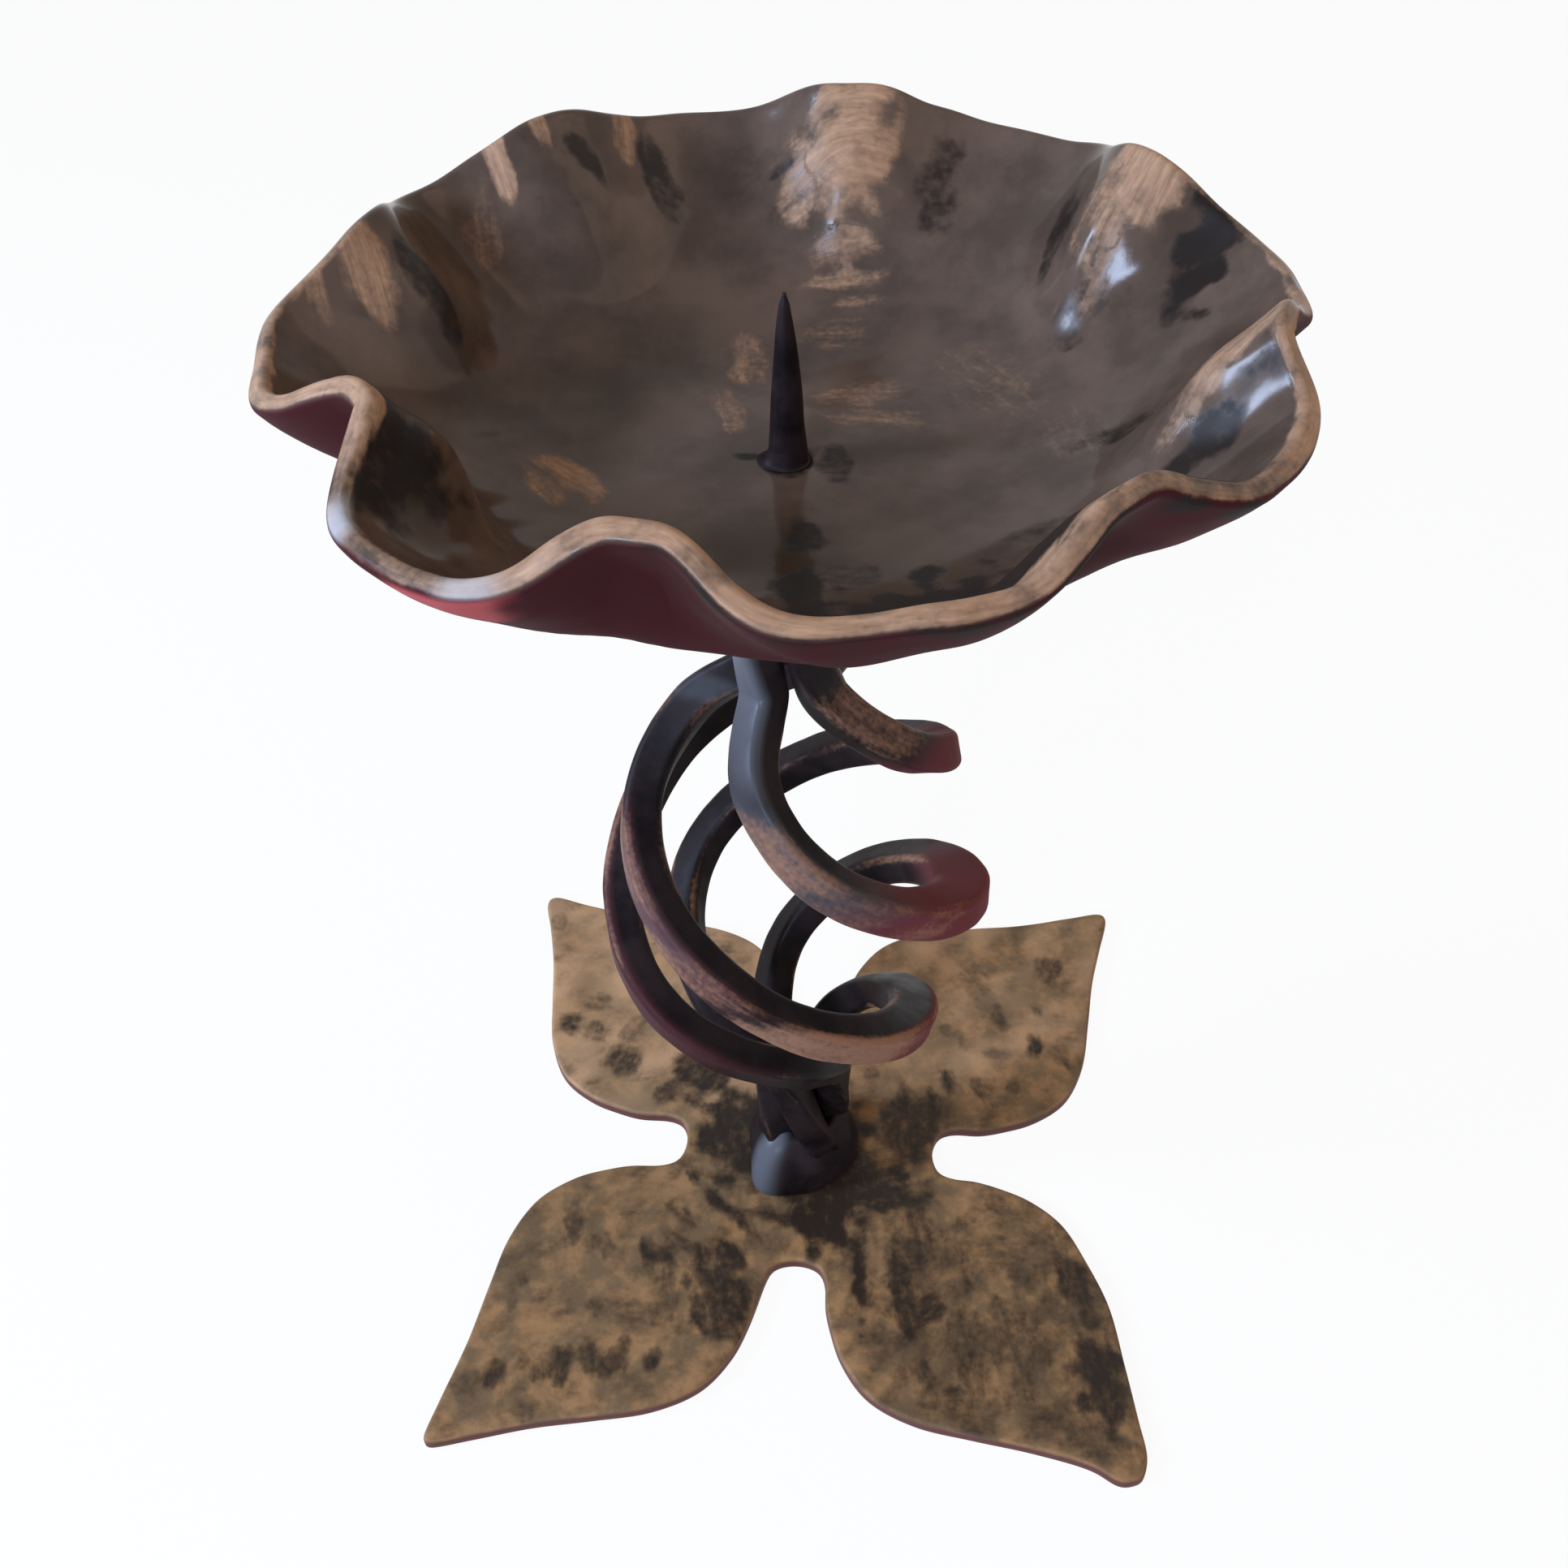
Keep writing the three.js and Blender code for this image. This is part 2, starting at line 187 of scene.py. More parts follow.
camera = bpy.data.objects.new("camera", bpy.data.cameras.new("camera"))
camera.data.sensor_width = 36
camera.data.lens = camera.data.sensor_width * FOCAL_PIXELS / PHOTO_PIXELS
camera.matrix_world = Matrix.Translation(Vector(CAMERA_PLACE) * MM) @ Matrix(
    (across, upright, -forward)
).transposed().to_4x4()
bpy.context.scene.collection.objects.link(camera)
bpy.context.scene.camera = camera
print(f"lens {camera.data.lens:.2f} mm")

# %% [markdown]
# ## Nodes and colours
# Colours are written as the eye sees them, in sRGB hex, and one function turns them into the
# linear light that the shaders add up. One small function adds a node with its settings and
# its links.


# %% Helpers for materials
def linear(hex_colour):
    """Linear RGBA of an sRGB colour such as #8a6d4c."""
    channels = [int(hex_colour[i : i + 2], 16) / 255 for i in (1, 3, 5)]
    light = [c / 12.92 if c <= 0.04045 else ((c + 0.055) / 1.055) ** 2.4 for c in channels]
    return (*light, 1.0)


def add_node(tree, kind, inputs=None, **settings):
    """One node with its settings; its inputs are values, or sockets to link from."""
    node = tree.nodes.new(kind)
    for name, value in settings.items():
        setattr(node, name, value)
    for key, value in (inputs or {}).items():
        if isinstance(value, bpy.types.NodeSocket):
            tree.links.new(value, node.inputs[key])
        else:
            node.inputs[key].default_value = value
    return node


def new_finish(name):
    """Empty material with a principled shader; returns the material, its tree and the shader."""
    material = bpy.data.materials.new(name)
    material.use_nodes = True
    tree = material.node_tree
    return material, tree, tree.nodes["Principled BSDF"]


def features_of(size):
    """Texture scale that gives features of a size in millimetres."""
    return 1 / (size * MM)


# Sockets of a colour mix, by number
FACTOR, BELOW, ABOVE, MIXED = 0, 6, 7, 2

# %% [markdown]
# ## Dry brushing
# The gold tone was dry-brushed: a nearly dry brush leaves paint only on what stands out, in
# fine streaks along its stroke, with bare specks between. So a coat's mask comes from noise
# that is stretched along the brush, and the painted density says how much of it shows. A high
# softness turns the streaks into a haze, as where the paint was wiped off again.


# %% Dry-brushed mask
SPECK_SHARE = 0.4  # part of the noise that is round specks instead of streaks
PAINT_GAIN = 0.7  # how far a full brush lifts the noise
COVER_LEVEL = 0.85  # lifted noise above this level is covered
FADE_GAIN = 2.5  # a coat thinner than 1 / 2.5 of a full one fades out


def brush_streaks(tree, length, width, seed):
    """Noise stretched along the brush, for streaks of a length and width in millimetres."""
    brush = add_node(tree, "ShaderNodeAttribute", attribute_name="brush")
    along = add_node(
        tree,
        "ShaderNodeVectorMath",
        {0: brush.outputs["Vector"], 1: (1 / length, 1 / width, 1), 2: (seed, seed, seed)},
        operation="MULTIPLY_ADD",
    )
    return add_node(
        tree,
        "ShaderNodeTexNoise",
        {"Vector": along.outputs[0], "Scale": 1, "Detail": 4, "Roughness": 0.6},
    )


def brushed_mask(tree, density, streak_length, streak_width, grit, softness):
    """How far a dry brush covered the surface, from 0 to 1. Sizes are in millimetres."""
    streaks = brush_streaks(tree, streak_length, streak_width, seed=0)
    place = add_node(tree, "ShaderNodeTexCoord")
    specks = add_node(
        tree,
        "ShaderNodeTexNoise",
        {"Vector": place.outputs["Object"], "Scale": features_of(grit), "Detail": 3},
    )
    both = add_node(
        tree,
        "ShaderNodeMix",
        {0: SPECK_SHARE, 2: streaks.outputs["Fac"], 3: specks.outputs["Fac"]},
    )
    raised = add_node(
        tree,
        "ShaderNodeMath",
        {0: density, 1: PAINT_GAIN, 2: both.outputs[0]},
        operation="MULTIPLY_ADD",
    )
    mask = add_node(
        tree,
        "ShaderNodeMapRange",
        {
            "Value": raised.outputs[0],
            "From Min": COVER_LEVEL - softness,
            "From Max": COVER_LEVEL + softness,
        },
        interpolation_type="SMOOTHSTEP",
    )
    present = add_node(
        tree, "ShaderNodeMath", {0: density, 1: FADE_GAIN}, operation="MULTIPLY", use_clamp=True
    )
    cover = add_node(
        tree, "ShaderNodeMath", {0: mask.outputs[0], 1: present.outputs[0]}, operation="MULTIPLY"
    )
    return cover.outputs[0]


# %% [markdown]
# ## Finish of the dish: brown lacquer over iron sheet
# The inside is brushed with a semi-gloss brown-black lacquer, cloudy where it went on thinner.
# Lacquer is clear resin over pigment, so it keeps an IOR of 1.5 and a fairly low roughness, and
# it mirrors the windows. The gold tone over it is matt and a little grainy. The underside is
# painted wine red, which stands in for reddish light reflected up from below, and it is painted
# brighter red at the front left and a little brighter at the right, as a painted reflection. Two
# places of the rim are painted pale grey, as a painted highlight, and the dark coat also holds
# painted shade and a painted reflection of the spike.

# %% Dish finish
PAINT_IOR = 1.5
CLOUD_SIZE = 14

lacquer, tree, shader = new_finish("brown_lacquer_on_iron_sheet")
place = add_node(tree, "ShaderNodeTexCoord").outputs["Object"]
clouds = add_node(
    tree,
    "ShaderNodeTexNoise",
    {"Vector": place, "Scale": features_of(CLOUD_SIZE), "Detail": 8, "Roughness": 0.62},
)
cloud_mask = add_node(
    tree,
    "ShaderNodeMapRange",
    {"Value": clouds.outputs["Fac"], "From Min": 0.34, "From Max": 0.66},
    interpolation_type="SMOOTHSTEP",
)
lacquer_colour = add_node(
    tree,
    "ShaderNodeMix",
    {FACTOR: cloud_mask.outputs[0], BELOW: linear("#45372e"), ABOVE: linear("#5b493d")},
    data_type="RGBA",
)
# Painted reflected light: the underside is painted wine red, for the reddish light from below.
under = add_node(tree, "ShaderNodeAttribute", attribute_name="under").outputs["Fac"]
underside = add_node(
    tree,
    "ShaderNodeMix",
    {FACTOR: under, BELOW: lacquer_colour.outputs[MIXED], ABOVE: linear("#35080e")},
    data_type="RGBA",
)

# Painted reflection: brighter red on the underside at the front left and at the right.
red_reflection = add_node(tree, "ShaderNodeAttribute", attribute_name="red_reflection").outputs["Fac"]
reddened = add_node(
    tree,
    "ShaderNodeMix",
    {FACTOR: red_reflection, BELOW: underside.outputs[MIXED], ABOVE: linear("#a04845")},
    data_type="RGBA",
)

# Dark blotches, among them painted shade and a painted reflection of the spike.
black_and_shade = add_node(tree, "ShaderNodeAttribute", attribute_name="black_and_shade").outputs["Fac"]
black_and_shade_mask = brushed_mask(tree, black_and_shade, streak_length=6, streak_width=2.5, grit=1.5, softness=0.2)
darkened = add_node(
    tree,
    "ShaderNodeMix",
    {FACTOR: black_and_shade_mask, BELOW: reddened.outputs[MIXED], ABOVE: linear("#1d1613")},
    data_type="RGBA",
)

gilt = add_node(tree, "ShaderNodeAttribute", attribute_name="gilt").outputs["Fac"]
gilt_mask = brushed_mask(tree, gilt, streak_length=8, streak_width=1.5, grit=0.9, softness=0.28)
grains = brush_streaks(tree, length=4, width=0.7, seed=9)
grain_mask = add_node(
    tree,
    "ShaderNodeMapRange",
    {"Value": grains.outputs["Fac"], "From Min": 0.25, "From Max": 0.75},
)
gilt_colour = add_node(
    tree,
    "ShaderNodeMix",
    {FACTOR: grain_mask.outputs[0], BELOW: linear("#82624a"), ABOVE: linear("#b79070")},
    data_type="RGBA",
)
brushed = add_node(
    tree,
    "ShaderNodeMix",
    {FACTOR: gilt_mask, BELOW: darkened.outputs[MIXED], ABOVE: gilt_colour.outputs[MIXED]},
    data_type="RGBA",
)
dark_gloss = add_node(tree, "ShaderNodeMix", {0: black_and_shade_mask, 2: 0.15, 3: 0.42})
inner_gloss = add_node(tree, "ShaderNodeMix", {0: gilt_mask, 2: dark_gloss.outputs[0], 3: 0.5})
roughness = add_node(tree, "ShaderNodeMix", {0: under, 2: inner_gloss.outputs[0], 3: 0.7})
height = add_node(
    tree,
    "ShaderNodeMath",
    {0: gilt_mask, 1: grains.outputs["Fac"], 2: clouds.outputs["Fac"]},
    operation="MULTIPLY_ADD",
)
bump = add_node(
    tree,
    "ShaderNodeBump",
    {"Strength": 0.35, "Distance": 0.15 * MM, "Height": height.outputs[0]},
)
# Painted highlight: pale grey where two places of the rim mirror the window.
steel_sheen = add_node(tree, "ShaderNodeAttribute", attribute_name="steel_sheen").outputs["Fac"]
wear_and_sheen = add_node(
    tree,
    "ShaderNodeMix",
    {FACTOR: steel_sheen, BELOW: brushed.outputs[MIXED], ABOVE: linear("#b0b0b0")},
    data_type="RGBA",
)
sheen_gloss = add_node(tree, "ShaderNodeMix", {0: steel_sheen, 2: roughness.outputs[0], 3: 0.2})
tree.links.new(wear_and_sheen.outputs[MIXED], shader.inputs["Base Color"])
tree.links.new(sheen_gloss.outputs[0], shader.inputs["Roughness"])
tree.links.new(bump.outputs[0], shader.inputs["Normal"])
shader.inputs["IOR"].default_value = PAINT_IOR
shader.inputs["Specular IOR Level"].default_value = 0.11
print(lacquer.name, len(tree.nodes), "nodes")

# %% [markdown]
# ## Finish of the foot plate: gold tone over black iron
# The plate has the same two paints the other way round: the gold tone covers nearly all of it,
# and blotches of black show through, longer in the direction of the brush. It was left satin.
# The gold tone is painted paler towards the back, as painted light that lifts the back petals
# out of the dish's shade, and the cut edge is painted dark wine red, which stands in for reddish
# light reflected onto it.

# %% Plate finish
TONE_SIZE = 6
GRIT_SIZE = 1.2

plate_gilt, tree, shader = new_finish("brushed_gold_tone_over_black_iron")
place = add_node(tree, "ShaderNodeTexCoord").outputs["Object"]
tones = add_node(
    tree,
    "ShaderNodeTexNoise",
    {"Vector": place, "Scale": features_of(TONE_SIZE), "Detail": 6, "Roughness": 0.6},
)
tone_mask = add_node(
    tree,
    "ShaderNodeMapRange",
    {"Value": tones.outputs["Fac"], "From Min": 0.38, "From Max": 0.64},
    interpolation_type="SMOOTHSTEP",
)
gold = add_node(
    tree,
    "ShaderNodeMix",
    {FACTOR: tone_mask.outputs[0], BELOW: linear("#6b543a"), ABOVE: linear("#936e48")},
    data_type="RGBA",
)
# Painted light: the back of the plate is painted paler, lifting it out of the dish's shade.
painted_light = add_node(tree, "ShaderNodeAttribute", attribute_name="painted_light").outputs["Fac"]
lit_gold = add_node(
    tree,
    "ShaderNodeMix",
    {FACTOR: painted_light, BELOW: gold.outputs[MIXED], ABOVE: linear("#bf9770")},
    data_type="RGBA",
)
black_and_shade = add_node(tree, "ShaderNodeAttribute", attribute_name="black_and_shade").outputs["Fac"]
black_and_shade_mask = brushed_mask(tree, black_and_shade, streak_length=6, streak_width=2.2, grit=1.4, softness=0.36)
blotched = add_node(
    tree,
    "ShaderNodeMix",
    {FACTOR: black_and_shade_mask, BELOW: lit_gold.outputs[MIXED], ABOVE: linear("#271e17")},
    data_type="RGBA",
)
# Painted reflected light: the cut edge is painted dark wine red.
edge = add_node(tree, "ShaderNodeAttribute", attribute_name="edge").outputs["Fac"]
edged = add_node(
    tree,
    "ShaderNodeMix",
    {FACTOR: edge, BELOW: blotched.outputs[MIXED], ABOVE: linear("#5a322d")},
    data_type="RGBA",
)
grains = add_node(
    tree,
    "ShaderNodeTexNoise",
    {"Vector": place, "Scale": features_of(GRIT_SIZE), "Detail": 4, "Roughness": 0.65},
)
bump = add_node(
    tree,
    "ShaderNodeBump",
    {"Strength": 0.35, "Distance": 0.2 * MM, "Height": grains.outputs["Fac"]},
)
roughness = add_node(tree, "ShaderNodeMix", {0: black_and_shade_mask, 2: 0.55, 3: 0.4})
tree.links.new(edged.outputs[MIXED], shader.inputs["Base Color"])
tree.links.new(roughness.outputs[0], shader.inputs["Roughness"])
tree.links.new(bump.outputs[0], shader.inputs["Normal"])
shader.inputs["IOR"].default_value = PAINT_IOR
shader.inputs["Specular IOR Level"].default_value = 0.15
print(plate_gilt.name, len(tree.nodes), "nodes")

# %% [markdown]
# ## Finish of the bars, the welds and the spike: blackened, waxed iron
# Forge-blackened iron has a thin skin of dark scale under wax. The wax gives it a soft gloss.
# The gold tone was rubbed along the edges that stand out. Some stretches are painted steel grey,
# as a painted reflection of the window, and the loops at one side are painted matt plum, which
# stands in for reddish light reflected onto them.

# %% Blackened iron
SKIN_SIZE = 7

black_iron, tree, shader = new_finish("blackened_waxed_iron")
place = add_node(tree, "ShaderNodeTexCoord").outputs["Object"]
scale_skin = add_node(
    tree,
    "ShaderNodeTexNoise",
    {"Vector": place, "Scale": features_of(SKIN_SIZE), "Detail": 5, "Roughness": 0.6},
)
skin_mask = add_node(
    tree,
    "ShaderNodeMapRange",
    {"Value": scale_skin.outputs["Fac"], "From Min": 0.36, "From Max": 0.66},
    interpolation_type="SMOOTHSTEP",
)
iron = add_node(
    tree,
    "ShaderNodeMix",
    {FACTOR: skin_mask.outputs[0], BELOW: linear("#130d0f"), ABOVE: linear("#241b1b")},
    data_type="RGBA",
)
# Painted reflection of the window: steel grey on stretches of the bars and on the foot weld.
steel_sheen = add_node(tree, "ShaderNodeAttribute", attribute_name="steel_sheen").outputs["Fac"]
with_sheen = add_node(
    tree,
    "ShaderNodeMix",
    {FACTOR: steel_sheen, BELOW: iron.outputs[MIXED], ABOVE: linear("#525255")},
    data_type="RGBA",
)
# Painted reflected light: reddish plum on the loops at one side.
plum_reflection = add_node(tree, "ShaderNodeAttribute", attribute_name="plum_reflection").outputs["Fac"]
plum_reflected = add_node(
    tree,
    "ShaderNodeMix",
    {FACTOR: plum_reflection, BELOW: with_sheen.outputs[MIXED], ABOVE: linear("#642e30")},
    data_type="RGBA",
)
gilt = add_node(tree, "ShaderNodeAttribute", attribute_name="gilt").outputs["Fac"]
gilt_mask = brushed_mask(tree, gilt, streak_length=9, streak_width=1.6, grit=0.9, softness=0.24)
rubbed = add_node(
    tree,
    "ShaderNodeMix",
    {FACTOR: gilt_mask, BELOW: plum_reflected.outputs[MIXED], ABOVE: linear("#86604a")},
    data_type="RGBA",
)
waxed = add_node(tree, "ShaderNodeMix", {0: skin_mask.outputs[0], 2: 0.42, 3: 0.56})
matted = add_node(tree, "ShaderNodeMix", {0: plum_reflection, 2: waxed.outputs[0], 3: 0.8})
roughness = add_node(tree, "ShaderNodeMix", {0: steel_sheen, 2: matted.outputs[0], 3: 0.3})
bump = add_node(
    tree,
    "ShaderNodeBump",
    {"Strength": 0.4, "Distance": 0.25 * MM, "Height": scale_skin.outputs["Fac"]},
)
tree.links.new(rubbed.outputs[MIXED], shader.inputs["Base Color"])
tree.links.new(roughness.outputs[0], shader.inputs["Roughness"])
tree.links.new(bump.outputs[0], shader.inputs["Normal"])
shader.inputs["IOR"].default_value = PAINT_IOR
shader.inputs["Specular IOR Level"].default_value = 0.09
print(black_iron.name, len(tree.nodes), "nodes")

# %% [markdown]
# ## Laying on the paint
# A brush mark is a stroke: its middle on the plan, the direction of the brush, how long and
# wide it is and how much paint it left. Where marks overlap, the strongest one counts, and the
# streaks follow that one's direction. The middles were picked on the photograph and turned into
# millimetres with the camera above; the other numbers follow the look of each stroke.


# %% Brush marks
def brush_marks(points, marks, ragged, seed):
    """Density of paint from (x, y, direction, half length, half width, strength) marks."""
    density = np.zeros(len(points))
    brush = np.zeros((len(points), 3))
    brush[:, :2] = points[:, :2]
    unevenness = ragged * ripple(points, 5, seed)
    for x, y, direction, half_length, half_width, strength in marks:
        turn = math.radians(direction)
        away = points[:, :2] - (x, y)
        along = away @ (math.cos(turn), math.sin(turn))
        across = away @ (-math.sin(turn), math.cos(turn))
        reach = np.hypot(along / half_length, across / half_width) + unevenness
        here = strength * (1 - smooth_rise(0.5, 1.3, reach))
        wins = here > density
        density = np.where(wins, here, density)
        stroke = np.stack([along + 37 * x, across + 53 * y, np.zeros(len(points))], axis=-1)
        brush = np.where(wins[:, None], stroke, brush)
    return density, brush


# %% [markdown]
# ## The dish
# A disc of 3 mm sheet was dished, and eight folds were pushed into its wall with a rod, which
# draws the rim in and up at each one. One formula gives the upper face: a bowl with a flat seat,
# plus a rise and a pull for each fold. A fold is broad and flat at the rim and ends in a rounded
# nose on the wall, which is where it mirrors the window. The sheet's other faces lie a depth
# below the upper one, along its normal, so the same formula makes the rounded rim and the
# underside. Folds are given by azimuth, rise, pull and the half-widths of their two sides. The
# first eight rows started from a fit to points picked along the rim on the photograph, and three
# of them were then changed. The last three rows push the rim out a little between folds.

# %% Dish shape
RIM_RADIUS = 60.6
DISH_DEPTH = 21.5
SEAT_RADIUS = 14.0
RIM_TILT = 1.5
RIM_LEAN = 0.9
FOLD_RISE = 6.0
FOLD_PULL = 6.0
FOLD_START_SHARE = 0.63
FOLD_END_SHARE = 0.91
NOSE_SOFTNESS = 1.8
RIM_SOFTNESS = 2.8
SOFTENING_START_SHARE = 0.82
BOWL_EXPONENT = 2.7
OVAL_SHARE = 0.006
FOLD_SHARES = [
    (254, 1.1, 0.9, 9, 9.3),
    (212, 1.05, 1.5, 11.1, 5.7),
    (162.5, 0.88, 1.1, 10.1, 8.9),
    (125.4, 1, 0.87, 12.2, 9.2),
    (79, 1.02, 0.9, 11.8, 9.3),
    (29.6, 1.1, 1.08, 7.8, 9.8),
    (343.8, 0.93, 0.73, 4.9, 8.4),
    (304.7, 0.8, 0.6, 8.3, 9),
    (232, -0.07, -0.27, 10, 10),
    (190, -0.23, -0.1, 10, 9),
    (326, -0.05, -0.2, 9, 9),
]


def dish_surface(share, azimuth):
    """Points of the dish's upper face, for shares of the rim radius and azimuths in degrees."""
    seat_share = SEAT_RADIUS / RIM_RADIUS
    wall = np.maximum(0, (share - seat_share) / (1 - seat_share)) ** BOWL_EXPONENT
    reach = smooth_rise(FOLD_START_SHARE, FOLD_END_SHARE, share)
    softening = smooth_rise(SOFTENING_START_SHARE, 1, share)
    softness = NOSE_SOFTNESS + (RIM_SOFTNESS - NOSE_SOFTNESS) * softening
    turn = np.radians(azimuth)
    radius = RIM_RADIUS * share * (1 + OVAL_SHARE * wall * np.cos(2 * turn))
    height = DISH_DEPTH * wall - RIM_TILT * wall * np.sin(turn)
    for at, rise, pull, before, after in FOLD_SHARES:
        away = (azimuth - at + 180) % 360 - 180
        width = np.where(away < 0, before, after)
        strength = 2.0 ** -((np.abs(away) / width) ** softness) * reach
        radius = radius - pull * FOLD_PULL * strength
        height = height + rise * FOLD_RISE * strength
    x = radius * np.cos(turn)
    y = radius * np.sin(turn) + RIM_LEAN * wall
    return np.stack(np.broadcast_arrays(x, y, DISH_FLOOR + height), axis=-1)


SHARE_STEP = 0.004
TURN_STEP = 0.4


def dish_directions(share, azimuth):
    """Directions on the dish: along the sheet towards the rim, and square to it, upwards."""
    outward = dish_surface(share + SHARE_STEP, azimuth) - dish_surface(share - SHARE_STEP, azimuth)
    around = dish_surface(share, azimuth + TURN_STEP) - dish_surface(share, azimuth - TURN_STEP)
    return unit(outward), unit(np.cross(outward, around))


# %% [markdown]
# The rim was cut by hand and filed, so its corners are rounded, its thickness wavers a little
# and file marks cross it. The rings run from the spike's hole over the upper face to the rim,
# round the edge and back under the dish.

# %% Dish mesh
DISH_SEGMENTS = 900
RIM_ROUND = 1.0
RIM_SLOPE_LENGTH = 96.0  # length of sheet that one whole share covers at the rim
HOLE_RADIUS = 2.8
DENT_DEPTH = 0.08
RIM_WOBBLE = 0.16
THICKNESS_WOBBLE_SHARE = 0.05

round_share = RIM_ROUND / RIM_SLOPE_LENGTH
upper_shares = np.concatenate(
    [
        np.linspace(HOLE_RADIUS / RIM_RADIUS, 0.45, 28),
        np.linspace(0.46, 0.8, 30),
        np.linspace(0.81, 1 - round_share, 24),
    ]
)
corner = np.radians(np.linspace(15, 90, 6))
corner_shares = 1 - round_share * (1 - np.sin(corner))
corner_depths = RIM_ROUND * (1 - np.cos(corner))
side_depths = np.linspace(RIM_ROUND, SHEET - RIM_ROUND, 4)[1:-1]
shares = np.concatenate(
    [upper_shares, corner_shares, np.ones(2), corner_shares[::-1], upper_shares[::-2]]
)
depths = np.concatenate(
    [
        np.zeros(len(upper_shares)),
        corner_depths,
        side_depths,
        SHEET - corner_depths[::-1],
        np.full(len(upper_shares[::-2]), SHEET),
    ]
)
azimuths = np.arange(DISH_SEGMENTS) * 360 / DISH_SEGMENTS
share_grid, azimuth_grid = np.meshgrid(shares, azimuths, indexing="ij")
depth_grid = np.broadcast_to(depths[:, None], share_grid.shape)

surface = dish_surface(share_grid, azimuth_grid)
outward, upward = dish_directions(share_grid, azimuth_grid)
dents = DENT_DEPTH * (ripple(surface, 16, 3) + 0.4 * ripple(surface, 6, 4)) - DENT_DEPTH
rim_wobble = RIM_WOBBLE * ripple(surface, 11, 5) * smooth_rise(0.85, 1, share_grid)
thickness = 1 + THICKNESS_WOBBLE_SHARE * ripple(surface, 13, 6)
dish_points = surface + upward * (dents - depth_grid * thickness)[..., None]
dish_points += outward * rim_wobble[..., None]
print("rim height", dish_points[..., 2].max().round(2), "mm")

# %% [markdown]
# The gold tone was brushed over the crests of the folds and over the rim, and only hazily over
# the floor. The marks below follow the photograph: crest by crest from the back, then the hazy
# strokes in the bowl and last the crest at the front right. Dark blotches lie beside them. The
# dark marks below the spike are a painted reflection of it, those across the front wall are a
# painted dark reflection, and the black along the underside below the front of the rim is
# painted shade.

# %% Dish paint
DISH_GILT = [
    (10.5, 49.5, 178, 6.5, 6.5, 0.74),
    (3, 49, 178, 4, 5, 0.52),
    (12, 53.5, 178, 7, 2, 0.8),
    (9, 42, 178, 6, 1.6, 0.44),
    (9, 38.5, 176, 6, 1.5, 0.46),
    (11, 35, 178, 5, 1.4, 0.4),
    (8, 29, 175, 6, 4, 0.3),
    (49, 27, 40, 7, 6.5, 0.82),
    (43.5, 25, 40, 6, 4, 0.58),
    (42, 21, 35, 4, 3, 0.4),
    (52, -13, 15, 7, 3, 0.66),
    (47, -14, 25, 5, 2, 0.42),
    (-38, 41, 120, 4.5, 1.6, 0.75),
    (-33, 45.5, 120, 3.5, 1.6, 0.6),
    (-21.5, 52, 92, 4, 1.8, 0.58),
    (-40.5, 34, 100, 5, 3, 0.34),
    (-52, 12.5, 115, 5, 3.2, 0.62),
    (-57.5, 8.5, 100, 3.5, 1.5, 0.48),
    (-28, -3, 140, 6, 3, 0.62),
    (-31, -6, 120, 5, 2.5, 0.45),
    (-25, -6, 100, 4, 2, 0.4),
    (10, 15, 5, 8, 3, 0.38),
    (12, 9, 170, 9, 2.4, 0.34),
    (28, 14, 120, 12, 6, 0.24),
    (36, 0, 100, 8, 5, 0.22),
    (-5, 24, 95, 8, 3, 0.4),
    (-7.5, 12, 100, 6, 2.4, 0.38),
    (22, -52, 48, 6, 2.5, 0.8),
    (30, -46, 48, 9, 2, 0.6),
]
# Rows 4 and 5: painted reflection of the spike; rows 6 and 7: painted dark reflection on the front
# wall
DISH_BLACK_AND_SHADE = [
    (0, 0, 0, 4, 4, 0.7),
    (5.5, -1, 80, 6, 3, 0.6),
    (-5, 1, 0, 2.5, 1.2, 0.7),
    (1.5, -16, 90, 5, 3, 0.75),
    (1, -31, 90, 11, 3, 0.9),
    (15, -42, 0, 26, 15, 0.92),
    (4, -26, 10, 8, 5, 0.5),
    (30, -22, 170, 8, 4, 0.45),
    (-43, -30, 60, 11, 4.5, 0.75),
    (-45.5, 15, 130, 6, 2.5, 0.7),
    (-26.5, 44.5, 160, 3.5, 2, 0.75),
    (-17, 50, 110, 6, 3, 0.7),
    (54, 17, 60, 8, 4, 0.85),
    (48, -20, 10, 6, 3, 0.75),
    (23, 47, 70, 6, 4, 0.55),
    (38, 31, 60, 6, 2, 0.6),
    (41, -4, 160, 7, 2.5, 0.6),
    (1, 51, 178, 3.5, 0.9, 0.6),
    (39.5, 18.5, 30, 4, 3.5, 0.5),
]
# Painted reflection: where the wine-red underside is painted brighter red
DISH_RED_REFLECTION = [
    (-35.1, -51.9, 164, 7.7, 4, 1),
    (48, -29, 60, 12, 4, 0.25),
]

# Azimuth, how far the gold tone reaches from the edge over the upper face, and how strong it is
RIM_GILT = [
    (0, 1.2, 0.6),
    (18, 1.0, 0.45),
    (35, 0.5, 0.15),
    (60, 0, 0),
    (145, 0, 0),
    (165, 0.8, 0.5),
    (185, 1.2, 0.75),
    (200, 1.6, 0.95),
    (213, 2.2, 1),
    (220, 1.2, 0.55),
    (236, 1.6, 0.6),
    (242, 3.2, 1),
    (254, 4, 1),
    (270, 3, 1),
    (280, 2.2, 0.95),
    (288, 2, 0.9),
    (300, 4.2, 0.8),
    (308, 2.4, 0.62),
    (318, 1.2, 0.55),
    (332, 1.6, 0.9),
    (346, 1, 0.6),
    (360, 1.2, 0.6),
]

